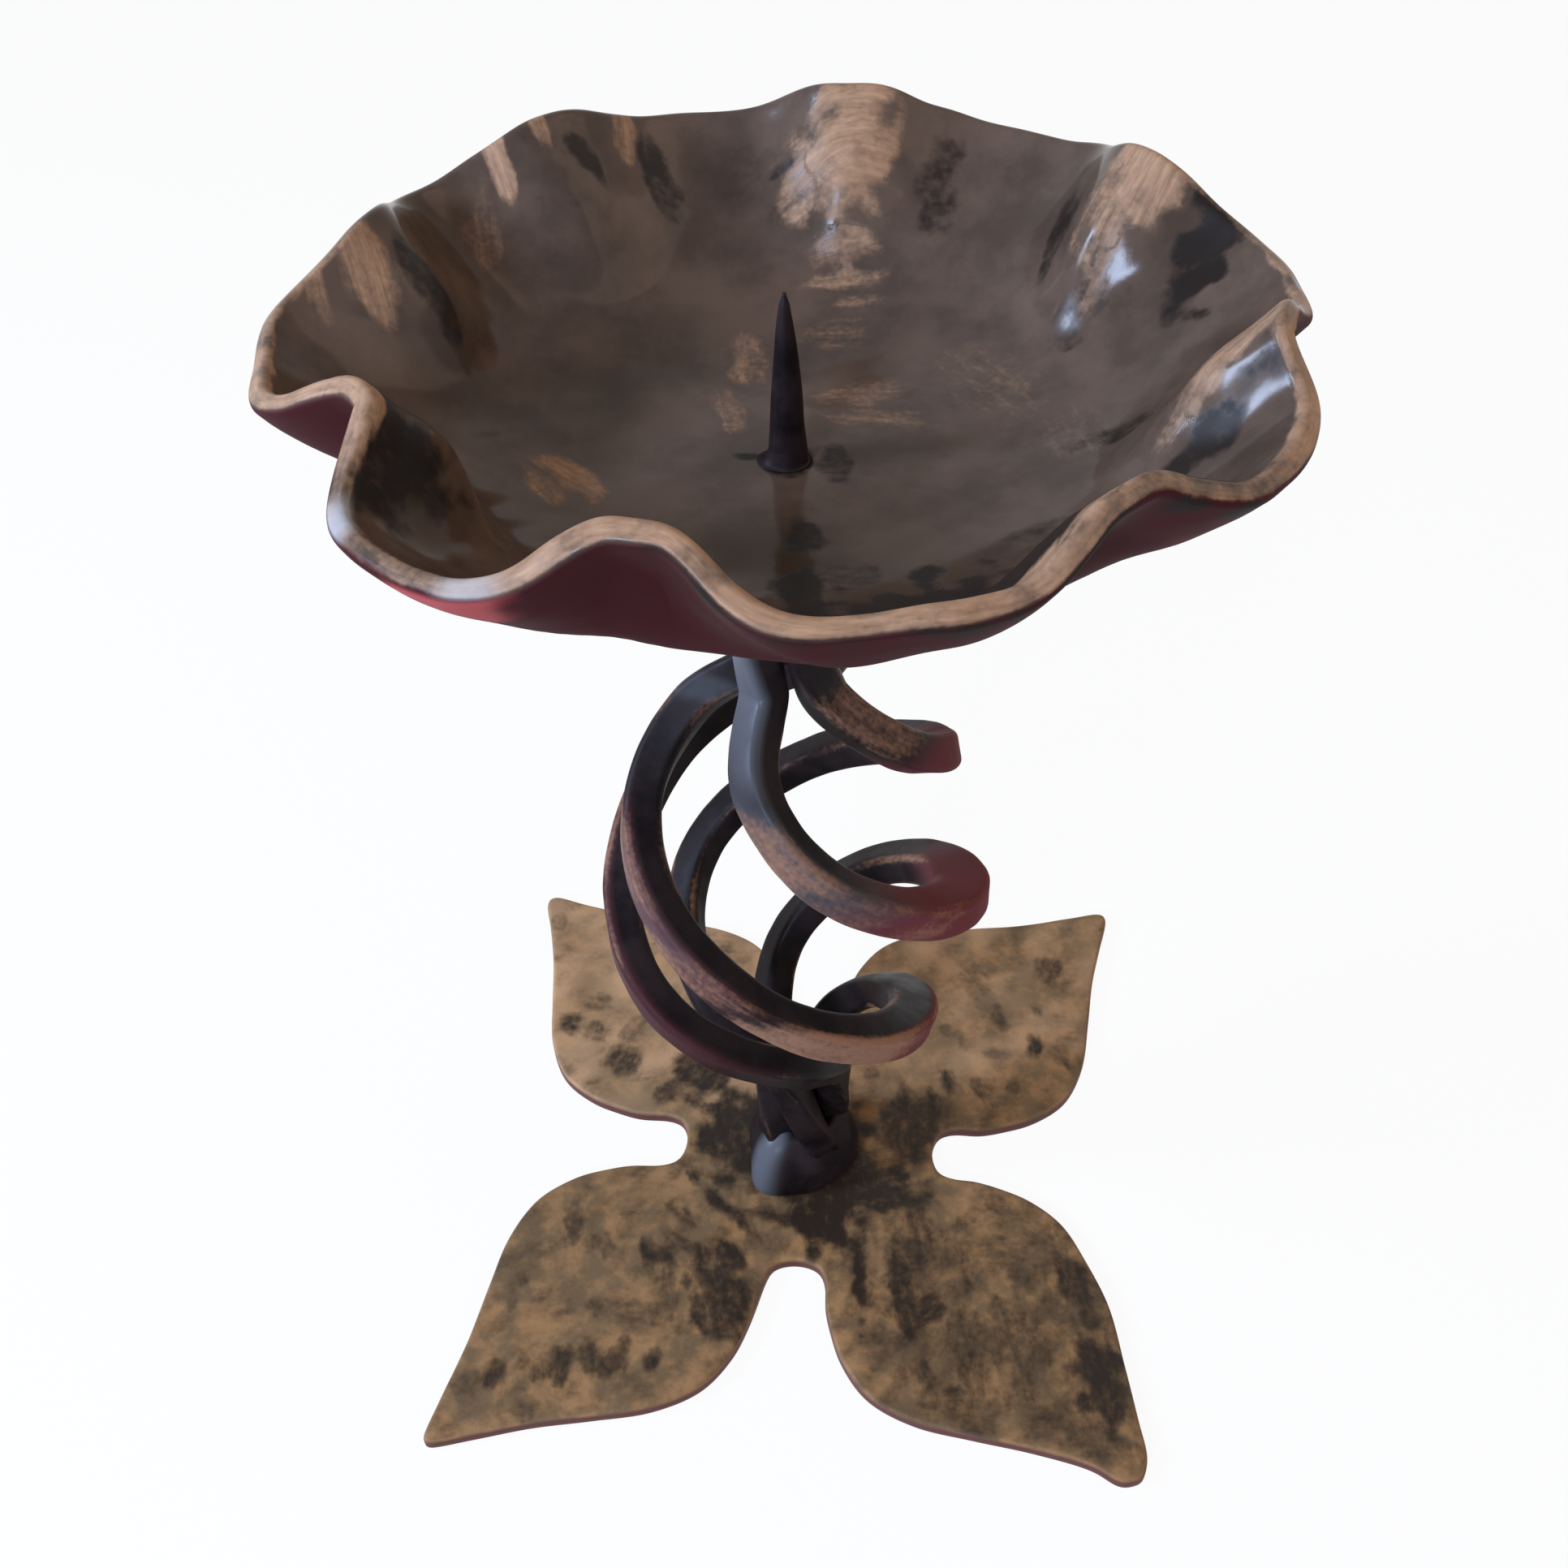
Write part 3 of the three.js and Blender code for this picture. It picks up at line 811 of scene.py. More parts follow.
# Azimuth, half-width in degrees and strength of the painted pale grey highlights on the rim
RIM_SHEEN = [(239, 3.2, 0.5), (222.5, 2.4, 0.62)]

WALL_HAZE = 0.17  # thin black over the whole wall
# Painted shade under the front of the rim
UNDER_SHADE = 0.5  # black along the underside below the front of the rim

flat_points = dish_points.reshape(-1, 3)
flat_depth = depth_grid.ravel()
flat_share = share_grid.ravel()
gilt_density, brush = brush_marks(flat_points, DISH_GILT, 0.12, 7)
black_and_shade_density, _ = brush_marks(flat_points, DISH_BLACK_AND_SHADE, 0.15, 8)
red_reflection_density, _ = brush_marks(flat_points, DISH_RED_REFLECTION, 0.1, 12)
inside = 1 - smooth_rise(0.2, 1.2, flat_depth)
flat_azimuth = azimuth_grid.ravel()
rim_reach = value_along([(at, reach) for at, reach, _ in RIM_GILT], flat_azimuth)
rim_paint = value_along([(at, paint) for at, _, paint in RIM_GILT], flat_azimuth)
from_rim = (1 - flat_share) * RIM_SLOPE_LENGTH
ragged = rim_reach * (1 + 0.35 * ripple(flat_points, 4, 9))
top_band = 1 - smooth_rise(0.6 * ragged, ragged + 0.4, from_rim)
rim_band = top_band * (1 - smooth_rise(2.2, 2.8, flat_depth))
rim_gilt = rim_band * rim_paint * np.clip(0.76 + 0.13 * ripple(flat_points, 4, 10), 0.3, 1)
on_rim = rim_gilt > gilt_density * inside
arc = np.radians(flat_azimuth) * RIM_RADIUS
rim_brush = np.stack([arc, flat_depth + from_rim, np.zeros(len(arc))], axis=-1)
# Painted highlights: pale grey at the listed places of the rim
rim_sheen = np.zeros(len(flat_points))
for at, half_width, strength in RIM_SHEEN:
    away = np.abs(flat_azimuth - at) / half_width
    rim_sheen = np.maximum(rim_sheen, strength * (1 - smooth_rise(0.2, 1.2, away)))
# Painted shade: black along the underside below the front of the rim
front = smooth_rise(250, 262, flat_azimuth) * (1 - smooth_rise(322, 334, flat_azimuth))
below_rim = smooth_rise(2.2, 2.6, flat_depth) * (1 - smooth_rise(1, 6, from_rim))
under_shade = front * below_rim * np.clip(UNDER_SHADE + 0.15 * ripple(flat_points, 5, 13), 0, 1)
haze_unevenness = 1 + 0.35 * ripple(flat_points, 20, 11)
wall_haze = WALL_HAZE * smooth_rise(0.5, 0.8, flat_share) * haze_unevenness
dish_coats = {
    "gilt": np.where(on_rim, rim_gilt, gilt_density * inside),
    "black_and_shade": np.maximum(black_and_shade_density, wall_haze) * inside + under_shade,
    "under": smooth_rise(2.4, 2.95, flat_depth + 1.4 * (1 - rim_paint)),
    "steel_sheen": rim_sheen * rim_band,
    "red_reflection": red_reflection_density * smooth_rise(2.5, 3, flat_depth),
    "brush": np.where(on_rim[:, None], rim_brush, brush),
}
dish_faces = ring_faces(len(shares), DISH_SEGMENTS, joined=True)
dish_faces = [face[::-1] for face in dish_faces]
make_piece(
    "drip_dish", flat_points, dish_faces, lacquer, "dish", dish_coats
)

# %% [markdown]
# ## The stem
# Four square bars were welded in a bundle at both ends, heated and twisted, then twisted back a
# little, which opens them into a basket. Each bar is one square section swept along its own
# helix. The table gives how far the basket has opened on the way down. Its openings, the twist
# and the belly's offset come from a fit to points picked along the bars on the photograph.
# Forging leaves rounded edges and slightly uneven faces, and the loops at the right are deeper
# on their inner side.

# %% Bars
BAR_WIDTH = 6.0
BAR_ROUND = 1.3
BUNDLE_RADIUS = 5.8
BELLY_RADIUS = 28.0
BELLY_OFFSET = np.array([-0.4, -1.3, 0.0])
STEM_START = -48.7
BASKET_TWIST = 311.0
TWIST_EASE_SHARE = -0.06
BASKET_SHARES = [
    (0, 0),
    (0.1, 0.46),
    (0.22, 0.83),
    (0.38, 1),
    (0.55, 0.96),
    (0.72, 0.49),
    (0.87, 0.08),
    (1, 0),
]
BAR_RINGS = 420
LOOP_AZIMUTH = -8
LOOP_HALF_WIDTH = 95
LOOP_THICKENING = 3.3
FORGED_WAVE = 0.06
FORGED_GRAIN = 0.015
FORGED_LOSS = 0.05


def bar_line(bar, height):
    """Middle line of a bar, and the direction away from the stem's axis, at some heights."""
    down = (BASKET_TOP - height) / (BASKET_TOP - BASKET_BOTTOM)
    inside = np.clip(down, 0, 1)
    ease = TWIST_EASE_SHARE * (np.sin(2 * math.pi * inside) / (2 * math.pi) + down - inside)
    turn = np.radians(STEM_START + BASKET_TWIST * (down + ease) - 90 * bar)
    opening = value_along(BASKET_SHARES, inside)[:, None]
    outward = np.stack([np.cos(turn), np.sin(turn), np.zeros(len(turn))], axis=-1)
    middle = outward * (BUNDLE_RADIUS + (BELLY_RADIUS - BUNDLE_RADIUS) * opening)
    middle = middle + BELLY_OFFSET * opening
    middle[:, 2] = height
    return middle, outward


def bar_section():
    """Square with rounded edges, and how near each of its points is to an edge."""
    inner = BAR_WIDTH / 2 - BAR_ROUND
    points, edges = [], []
    for corner_turn in (45, 135, 225, 315):
        side = math.radians(corner_turn)
        middle = inner * np.sign([math.cos(side), math.sin(side)])
        for step in np.linspace(-45, 45, 7):
            turn = side + math.radians(step)
            points.append(middle + BAR_ROUND * np.array([math.cos(turn), math.sin(turn)]))
            edges.append(1 - abs(step) / 60)
        following = inner * np.sign([math.cos(side + math.pi / 2), math.sin(side + math.pi / 2)])
        outside = BAR_ROUND * np.array([math.cos(turn), math.sin(turn)])
        for step in (0.25, 0.5, 0.75):
            points.append(middle + (following - middle) * step + outside)
            edges.append(0)
    return np.array(points), np.array(edges)


def bar_mesh(bar):
    """Points of a bar, ring by ring, with its paint: edges are rubbed, faces are not."""
    height = np.linspace(STEM_BOTTOM, STEM_TOP, BAR_RINGS)
    middle, outward = bar_line(bar, height)
    along = unit(bar_line(bar, height + 0.5)[0] - bar_line(bar, height - 0.5)[0])
    out = unit(outward - along * (outward * along).sum(axis=1, keepdims=True))
    across = np.cross(out, along)
    section, edges = bar_section()
    azimuth = np.degrees(np.arctan2(middle[:, 1], middle[:, 0]))
    away = np.abs((azimuth - LOOP_AZIMUTH + 180) % 360 - 180)
    open_here = smooth_rise(10, 20, np.hypot(middle[:, 0], middle[:, 1]))
    thicker = LOOP_THICKENING * open_here * (1 - smooth_rise(0, LOOP_HALF_WIDTH, away))
    growth = 1 + np.where(section[None, :, 1] < 0, thicker[:, None] / (BAR_WIDTH / 2), 0)
    points = middle[:, None] + across[:, None] * section[None, :, :1]
    points = points + out[:, None] * (section[None, :, 1:] * growth[..., None])
    for end in (0, -1):
        drop = (height[end] - points[end, :, 2]) / along[end, 2]
        points[end] += along[end] * drop[:, None]
    from_middle = points - middle[:, None]
    waves = FORGED_WAVE * ripple(points, 13, 20 + bar)
    grain = FORGED_GRAIN * ripple(points, 4, 30 + bar)
    uneven = waves + grain - FORGED_LOSS
    points[1:-1] += (unit(from_middle) * uneven[..., None])[1:-1]
    travel = np.concatenate([[0], np.cumsum(np.linalg.norm(np.diff(middle, axis=0), axis=1))])
    girth = np.arange(len(section)) * 4 * BAR_WIDTH / len(section)
    brush = np.stack(np.broadcast_arrays(travel[:, None], girth[None], 11.0 * bar), axis=-1)
    facing = section / (BAR_WIDTH / 2)
    return points, edges, facing, brush


# %% [markdown]
# Each bar's paint is listed by height: which coat, on which side of the bar, how high up, over
# what length, and how strong. The outer side faces away from the axis, the upper side up.

# %% Bar paint
EDGE_WEAR = 0.13
EDGE_WEAR_SPREAD = 0.23
# Steel marks are a painted reflection of the window, and plum marks are painted reddish light
BAR_MARKS = [
    (1, "steel_sheen", "outer", 136, 17, 0.85),
    (1, "steel_sheen", "outer", 112, 12, 0.45),
    (1, "gilt", "outer", 114, 6, 0.55),
    (1, "gilt", "outer", 106, 5, 0.35),
    (1, "plum_reflection", "all", 92, 16, 0.95),
    (1, "gilt", "outer", 98, 4, 0.4),
    (0, "gilt", "outer", 125, 8, 0.42),
    (0, "gilt", "upper", 126, 8, 0.34),
    (0, "plum_reflection", "all", 111, 8, 0.75),
    (2, "steel_sheen", "upper", 123, 2, 0.3),
    (2, "steel_sheen", "outer", 100, 8, 0.3),
    (2, "gilt", "outer", 105, 7, 0.45),
    (2, "plum_reflection", "outer", 100, 12, 0.35),
    (2, "gilt", "outer", 93, 6, 0.4),
    (2, "gilt", "outer", 79, 10, 0.75),
    (2, "plum_reflection", "outer", 68, 9, 0.85),
    (3, "gilt", "outer", 90, 6, 0.5),
    (3, "plum_reflection", "outer", 80, 20, 0.3),
]


def bar_coats(bar, points, edges, facing, brush):
    """Paint of one bar: a rubbed tone along the edges, and the listed marks."""
    shape = points.shape[:2]
    flat = points.reshape(-1, 3)
    wear_and_sheen = EDGE_WEAR + EDGE_WEAR_SPREAD * ripple(flat, 18, 40 + bar)
    wear_and_sheen = np.clip(wear_and_sheen, 0, 0.8).reshape(shape)
    coats = {"gilt": edges[None] * wear_and_sheen, "steel_sheen": np.zeros(shape), "plum_reflection": np.zeros(shape)}
    sides = {
        "outer": smooth_rise(0.3, 0.75, facing[:, 1]),
        "upper": smooth_rise(0.3, 0.75, -facing[:, 0]),
        "all": np.ones(len(facing)),
    }
    for marked, coat, side, height, half_height, strength in BAR_MARKS:
        if marked != bar:
            continue
        near = 1 - smooth_rise(0.4, 1.2, np.abs(points[..., 2] - height) / half_height)
        coats[coat] = np.maximum(coats[coat], strength * near * sides[side][None])
    coats["brush"] = brush.reshape(-1, 3)
    return {
        name: values.reshape(-1, 3) if name == "brush" else values.ravel()
        for name, values in coats.items()
    }


for bar in range(4):
    points, edges, facing, brush = bar_mesh(bar)
    make_piece(
        f"basket_bar_{bar + 1}",
        points.reshape(-1, 3),
        ring_faces(BAR_RINGS, len(edges), joined=False),
        black_iron,
        f"stem_bar_{bar + 1}",
        bar_coats(bar, points, edges, facing, brush),
    )

# %% [markdown]
# ## The foot plate
# Four pointed petals were cut from one sheet by hand, with a round-bottomed notch between each
# two. The outline is a smooth curve through a few points per petal, given as shares of the
# petal's length and width. Each petal is a little different, because each was cut by eye: the
# shares follow outline points that were picked on the photograph and turned into millimetres.

# %% Plate outline
PETAL_LENGTH = 90.0
PETAL_HALF_WIDTH = 26.6
TIP_HALF_WIDTH = 1.1
NOTCH_RADIUS = 25.0
NOTCH_HALF_WIDTH = 5.6
PLATE_TURN = -5.3
PETAL_SHARES = [
    (-135, 0.993, 0.974, 0.925, 0, 0.55, 0.996),
    (-45, 0.972, 0.959, 0.957, 0.12, 3, 1.016),
    (45, 1, 1.015, 1, 0, 1, 1),
    (135, 0.978, 0.985, 0.975, 0, 1.27, 0.944),
]
FLANK_SHARES = [
    (0.32, 0.77, 0),
    (0.37, 0.87, 0),
    (0.43, 0.96, 0),
    (0.52, 1, 0),
    (0.62, 0.885, 0.15),
    (0.72, 0.65, 0.9),
    (0.82, 0.4, 1),
    (0.92, 0.19, 0.7),
]
NOTCH_SHARES = [(0.23, 0.77), (0.73, 1)]


def plate_point(direction, along, across):
    """Place on the plate: so far along a direction from its middle, and across it."""
    turn = math.radians(direction + PLATE_TURN)
    return (
        along * math.cos(turn) - across * math.sin(turn),
        along * math.sin(turn) + across * math.cos(turn),
    )


def flank(petal, half_width, swell):
    """One side of a petal, from the notch to the tip."""
    at, length_share, _, _, _, tip, _ = petal
    length = length_share * PETAL_LENGTH
    side = [plate_point(at, a * length, (b + c * swell) * half_width) for a, b, c in FLANK_SHARES]
    tip_width = tip * TIP_HALF_WIDTH
    return [*side, plate_point(at, length - 0.6 * tip_width, math.copysign(tip_width, half_width))]


def petal_tip(petal):
    """The far end of a petal's middle line."""
    return plate_point(petal[0], petal[1] * PETAL_LENGTH, 0)


def curve_through(points, steps):
    """Even steps on a centripetal Catmull-Rom curve through the points."""
    points = np.array(points)
    points = np.vstack([2 * points[0] - points[1], points, 2 * points[-1] - points[-2]])
    path = []
    for i in range(1, len(points) - 2):
        p = points[i - 1 : i + 3]
        gaps = np.sqrt(np.linalg.norm(np.diff(p, axis=0), axis=1))
        knots = np.concatenate([[0], np.cumsum(gaps)])
        t = np.linspace(knots[1], knots[2], steps, endpoint=False)[:, None]
        a = [
            ((knots[k + 1] - t) * p[k] + (t - knots[k]) * p[k + 1]) / gaps[k] for k in range(3)
        ]
        b = [
            ((knots[k + 2] - t) * a[k] + (t - knots[k]) * a[k + 1]) / (knots[k + 2] - knots[k])
            for k in range(2)
        ]
        path.append(((knots[2] - t) * b[0] + (t - knots[1]) * b[1]) / gaps[1])
    return np.vstack(path)


def plate_outline(spacing):
    """Closed outline of the plate with evenly spaced points and softened corners."""
    path = []
    for k, petal in enumerate(PETAL_SHARES):
        following = PETAL_SHARES[(k + 1) % len(PETAL_SHARES)]
        middle = petal[0] + 45
        bottom = petal[6] * NOTCH_RADIUS
        side = [
            (bottom + out * NOTCH_HALF_WIDTH, over * NOTCH_HALF_WIDTH)
            for out, over in NOTCH_SHARES
        ]
        inward = flank(petal, petal[3] * PETAL_HALF_WIDTH, petal[4])[::-1]
        notch = [plate_point(middle, out, -over) for out, over in side[::-1]]
        notch += [plate_point(middle, bottom, 0)]
        notch += [plate_point(middle, out, over) for out, over in side]
        onward = flank(following, -following[2] * PETAL_HALF_WIDTH, 0)
        whole = [petal_tip(petal), *inward, *notch, *onward, petal_tip(following)]
        path.append(curve_through(whole, 24))
    path = np.vstack(path)
    gaps = np.linalg.norm(np.roll(path, -1, axis=0) - path, axis=1)
    travel = np.concatenate([[0], np.cumsum(gaps)])
    even = np.linspace(0, travel[-1], round(travel[-1] / spacing), endpoint=False)
    closed = np.vstack([path, path[:1]])
    outline = np.stack([np.interp(even, travel, closed[:, k]) for k in (0, 1)], axis=-1)
    for _ in range(3):
        beside = np.roll(outline, 1, axis=0) + np.roll(outline, -1, axis=0)
        outline = (outline * 2 + beside) / 4
    return outline


outline = plate_outline(spacing=0.7)
print("outline points", len(outline))

# %% [markdown]
# The edge is a few rings set in from the outline, rounded above and below. Inside it, the upper
# face is filled with a fine net of triangles, so that it can carry the waviness of hammered
# sheet and the paint. Brush strokes on the foot run mostly from front to back.

# %% Plate mesh
EDGE_PROFILE = [
    (0.5, 0.0),
    (0.15, 0.12),
    (0.0, 0.45),
    (0.0, 1.2),
    (0.0, 1.9),
    (0.04, 2.3),
    (0.18, 2.62),
    (0.42, 2.82),
    (0.75, 2.9),
]
NET_SPACING = 1.1
WAVE_DEPTH = 0.07
SMALL_WAVE_DEPTH = 0.03

ahead = np.roll(outline, -1, axis=0) - np.roll(outline, 1, axis=0)
inwards = unit(np.stack([-ahead[:, 1], ahead[:, 0]], axis=-1))


def nearest_gap(places, line):
    """Distance from each place to the nearest point of a line of points."""
    return np.array([np.hypot(*(line - place).T).min() for place in places])


def inside_outline(places, line):
    """Which places lie inside a closed line, by the turns it makes round them."""
    following = np.roll(line, -1, axis=0)
    inside = []
    for x, y in places:
        crosses = (line[:, 1] > y) != (following[:, 1] > y)
        share = (y - line[:, 1]) / np.where(crosses, following[:, 1] - line[:, 1], 1)
        at = line[:, 0] + share * (following[:, 0] - line[:, 0])
        inside.append(np.count_nonzero(crosses & (x < at)) % 2 == 1)
    return np.array(inside)


rings = [
    np.column_stack([outline + inwards * inset, np.full(len(outline), height)])
    for inset, height in EDGE_PROFILE
]
inner_line = rings[-1][:, :2]
reach = np.abs(outline).max()
steps = np.arange(-reach, reach, NET_SPACING)
net = np.array([(x + (k % 2) * NET_SPACING / 2, y) for k, y in enumerate(steps) for x in steps])
net = net[inside_outline(net, inner_line)]
net = net[nearest_gap(net, inner_line) > 0.55 * NET_SPACING]


def filled(line, inner_points):
    """Triangles that fill a closed line, over its own points and some inner points."""
    places = [Vector(p) for p in np.vstack([line, inner_points])]
    edges = [(k, (k + 1) % len(line)) for k in range(len(line))]
    result = delaunay_2d_cdt(places, edges, [], 1, 1e-6)
    return np.array(result[0]), [list(face) for face in result[2]]


top_places, top_faces = filled(inner_line, net)
under_places, under_faces = filled(rings[0][:, :2], np.zeros((0, 2)))
count = len(outline)
net_start = (len(rings) - 1) * count
print("upper face", len(top_places), "points; corners kept:", len(under_places) == count)

top_points = np.column_stack([top_places, np.full(len(top_places), EDGE_PROFILE[-1][1])])
plate_points = np.vstack([*rings[:-1], top_points])
edge_faces = ring_faces(len(rings), count, joined=False)[:-2]
top_faces = [[net_start + k for k in face] for face in top_faces]
under_faces = [list(face)[::-1] for face in under_faces]
plate_faces = [*edge_faces, *top_faces, *under_faces]

raised = smooth_rise(1.5, 2.9, plate_points[:, 2])
waves = WAVE_DEPTH * ripple(plate_points, 24, 50)
waves = waves + SMALL_WAVE_DEPTH * ripple(plate_points, 8, 51)
plate_points[:, 2] += raised * np.minimum(waves, PLATE_TOP - EDGE_PROFILE[-1][1])

# %% Plate paint
PLATE_BLACK_MARKS = [
    (-29.2, -43.8, 60, 3.5, 2, 0.75),
    (-34, -39.6, 80, 2.5, 1.2, 0.65),
    (-29, -22.5, 120, 3.5, 3, 0.8),
    (-23, -28.5, 90, 2, 1.6, 0.8),
    (-16.5, -32, 100, 12, 6, 0.82),
    (-14, -24, 130, 6, 3, 0.9),
    (-16, -13, 134, 11, 1.6, 0.85),
    (-23.5, -15, 140, 4.5, 1.4, 0.7),
    (-25, -20, 140, 5.5, 1.6, 0.6),
    (-45, -15.5, 90, 5, 2.4, 0.62),
    (-38, -21.3, 90, 3, 1.8, 0.5),
    (-35, -17.5, 90, 2, 1.5, 0.5),
    (-54, -26.5, 100, 2.5, 1.3, 0.6),
    (-55.5, -31, 90, 3, 1.5, 0.45),
    (-40, -33.5, 120, 3, 1.3, 0.6),
    (-27, -30, 90, 8, 3, 0.5),
    (9.5, -30, 90, 8, 2, 0.95),
    (17, -34, 90, 14, 3, 0.85),
    (21, -36, 40, 7, 3, 0.85),
    (28, -44, 90, 10, 5, 0.62),
    (20, -48, 110, 5, 2, 0.66),
    (25, -52, 0, 3, 2.5, 0.7),
    (37, -42, 90, 11, 6, 0.56),
    (49.5, -32, 100, 10, 4, 0.82),
    (51.5, -50, 95, 12, 5, 0.92),
    (41, -56.5, 0, 4, 2, 0.65),
    (38.7, -28, 80, 3, 1.6, 0.6),
    (29.5, -29.8, 90, 5, 1.6, 0.62),
    (21, -20, 90, 12, 5, 0.68),
    (40, -20, 150, 8, 3, 0.35),
    (3, -12, 90, 15, 9, 1),
    (12, -10, 0, 14, 9, 0.92),
    (20, 2, 90, 12, 6, 0.8),
    (54.9, 43, 60, 5, 4, 0.66),
    (42.3, 29.6, 100, 4, 2, 0.6),
    (48.7, 22, 90, 3, 2, 0.85),
    (54.5, 18, 120, 3, 1.6, 0.62),
    (29.8, 14.2, 90, 3.5, 1.6, 0.75),
    (36, 12.4, 110, 4, 2, 0.7),
    (43.3, 12.7, 60, 3.5, 2, 0.6),
    (35, 24.6, 90, 3, 2.5, 0.5),
    (51, 31.8, 90, 2.4, 2, 0.5),
    (38, 39.5, 120, 6, 4, 0.4),
    (24.7, 5, 90, 9, 5, 0.8),
    (-49, 32, 0, 3.5, 3.5, 0.75),
    (-43, 29.5, 80, 3, 3.5, 0.6),
    (-37.5, 22.2, 60, 4.5, 4.5, 0.8),
    (-35.5, 29, 60, 5, 3, 0.5),
    (-53, 60, 90, 4, 2.5, 0.45),
    (-20, 18.5, 60, 8, 7, 0.9),
    (-27.5, 14, 60, 4.5, 3, 0.65),
    (-14, 4, 90, 12, 9, 0.92),
    (0, 0, 0, 18, 18, 1),
    (0, 26, 90, 8, 12, 0.5),
    (-61.5, -48, 75, 3, 1.6, 0.6),
    (-57.5, -45.2, 85, 3.8, 2.4, 0.74),
    (-52.5, -43.2, 90, 2.6, 1.4, 0.6),
    (-49, -45.4, 100, 2.8, 1.5, 0.66),
    (-45.5, -43.8, 85, 4.6, 2.6, 0.72),
    (-40.2, -42.6, 95, 5.4, 1.9, 0.66),
    (-36.4, -44.6, 80, 3, 3, 0.8),
]
MOTTLING = 0.26
MOTTLING_SPREAD = 0.12
MOST_MOTTLING = 0.55
PAINTED_LIGHT_LEVEL = 0.45
PAINTED_LIGHT_SPREAD = 0.12

black_and_shade_density, brush = brush_marks(plate_points, PLATE_BLACK_MARKS, 0.16, 52)
upper_face = smooth_rise(2.3, 2.8, plate_points[:, 2])
at_back = smooth_rise(0, 20, plate_points[:, 1])
at_right = smooth_rise(5, 15, plate_points[:, 0]) * smooth_rise(10, 20, -plate_points[:, 1])
right_half = smooth_rise(0, 20, plate_points[:, 0])
mottled = MOTTLING + MOTTLING_SPREAD * ripple(plate_points, 7, 53)
mottled = np.clip(mottled - 0.06 * at_back + 0.2 * at_right, 0, MOST_MOTTLING)
# The back is painted paler, as painted light against the dish's shade, and the right less so
painted_lightness = PAINTED_LIGHT_LEVEL + PAINTED_LIGHT_SPREAD * ripple(plate_points, 12, 54) - 0.3 * right_half
plate_coats = {
    "black_and_shade": np.maximum(black_and_shade_density, mottled) * upper_face,
    "painted_light": at_back * np.clip(painted_lightness, 0, 1),
    "edge": 1 - smooth_rise(1.9, 2.75, plate_points[:, 2]),
    "brush": brush,
}
make_piece(
    "foot_plate",
    plate_points,
    plate_faces,
    plate_gilt,
    "base_plate",
    plate_coats,
)

# %% [markdown]
# ## Welds and spike
# The welds are laid by hand, so they are uneven rings that lean on both pieces they join. They
# sink a little into their neighbours, as melted metal does. The spike is one rod, hammered to a
# point.


# %% Weld beads
WELD_SINK = 0.5
TOE_WIDTH = 0.2
TOE_HEIGHT = 0.1
BEAD_UNEVENNESS = 0.05


def weld_bead(name, node, inner, reach, height, lip, bend, lump, base, direction, seed, wear_and_sheen=0):
    """Uneven fillet round the stem's axis, standing on base or hanging from it.

    The bend is the point that its profile leans to, and the lump is the azimuth, the half-width
    in degrees and the extra reach of the place where most metal was laid. The last argument is how
    strongly the lump is painted steel grey, as a painted highlight.
    """
    profile = [
        (inner, -WELD_SINK),
        (inner + reach, -WELD_SINK),
        (inner + reach + TOE_WIDTH, TOE_HEIGHT),
    ]
    for t in np.linspace(0, 1, 13):
        start, end = (inner + reach, lip), (inner + lip, height)
        profile.append(
            tuple(
                (1 - t) ** 2 * a + 2 * t * (1 - t) * b + t * t * c
                for a, b, c in zip(start, bend, end)
            )
        )
    profile.append((inner, height))
    turns = np.radians(np.arange(0, 360, 3))
    from_lump = np.abs((np.degrees(turns) - lump[0] + 180) % 360 - 180)
    extra = lump[2] * (1 - smooth_rise(0, lump[1], from_lump))
    rings = []
    for radius, up in profile:
        ring = np.stack(
            [radius * np.cos(turns), radius * np.sin(turns), np.full(len(turns), up)], axis=-1
        )
        bulge = BEAD_UNEVENNESS * reach * ripple(ring, 1.2 * reach + 2, seed) + extra
        bulge = bulge * np.clip((radius - inner) / reach, 0, 1)
        ring[:, :2] *= (1 + bulge / radius)[:, None]
        ring[:, 2] = base + direction * ring[:, 2]
        rings.append(ring)
    points = np.vstack(rings)
    faces = ring_faces(len(rings), len(turns), joined=True)
    if direction < 0:
        faces = [face[::-1] for face in faces]
    plain = np.zeros(len(points))
    # Painted highlight: steel grey over the lump
    steel_sheen = np.tile(wear_and_sheen * (1 - smooth_rise(5, 0.62 * lump[1], from_lump)), len(rings))
    coats = {"gilt": plain, "steel_sheen": steel_sheen, "plum_reflection": plain, "brush": points}
    make_piece(name, points, faces, black_iron, node, coats)


FOOT_LUMP = (224, 40, 2.6)
FLARE = (180, 70, 1.1)
weld_bead(
    "foot_fillet",
    "foot_weld",
    inner=5,
    reach=5.4,
    height=12,
    lip=1.2,
    bend=(10.4, 9),
    lump=FOOT_LUMP,
    base=STEM_BOTTOM,
    direction=1,
    seed=60,
    wear_and_sheen=1,
)
weld_bead(
    "neck_fillet",
    "neck_weld",
    inner=5,
    reach=7.8,
    height=4.2,
    lip=1.6,
    bend=(8.2, 3.2),
    lump=(0, 90, 0),
    base=STEM_TOP,
    direction=-1,
    seed=61,
)
weld_bead(
    "spike_fillet",
    "pricket_weld",
    inner=2.2,
    reach=0.5,
    height=2.2,
    lip=0.05,
    bend=(2.4, 0.4),
    lump=FLARE,
    base=DISH_FLOOR,
    direction=1,
    seed=62,
)

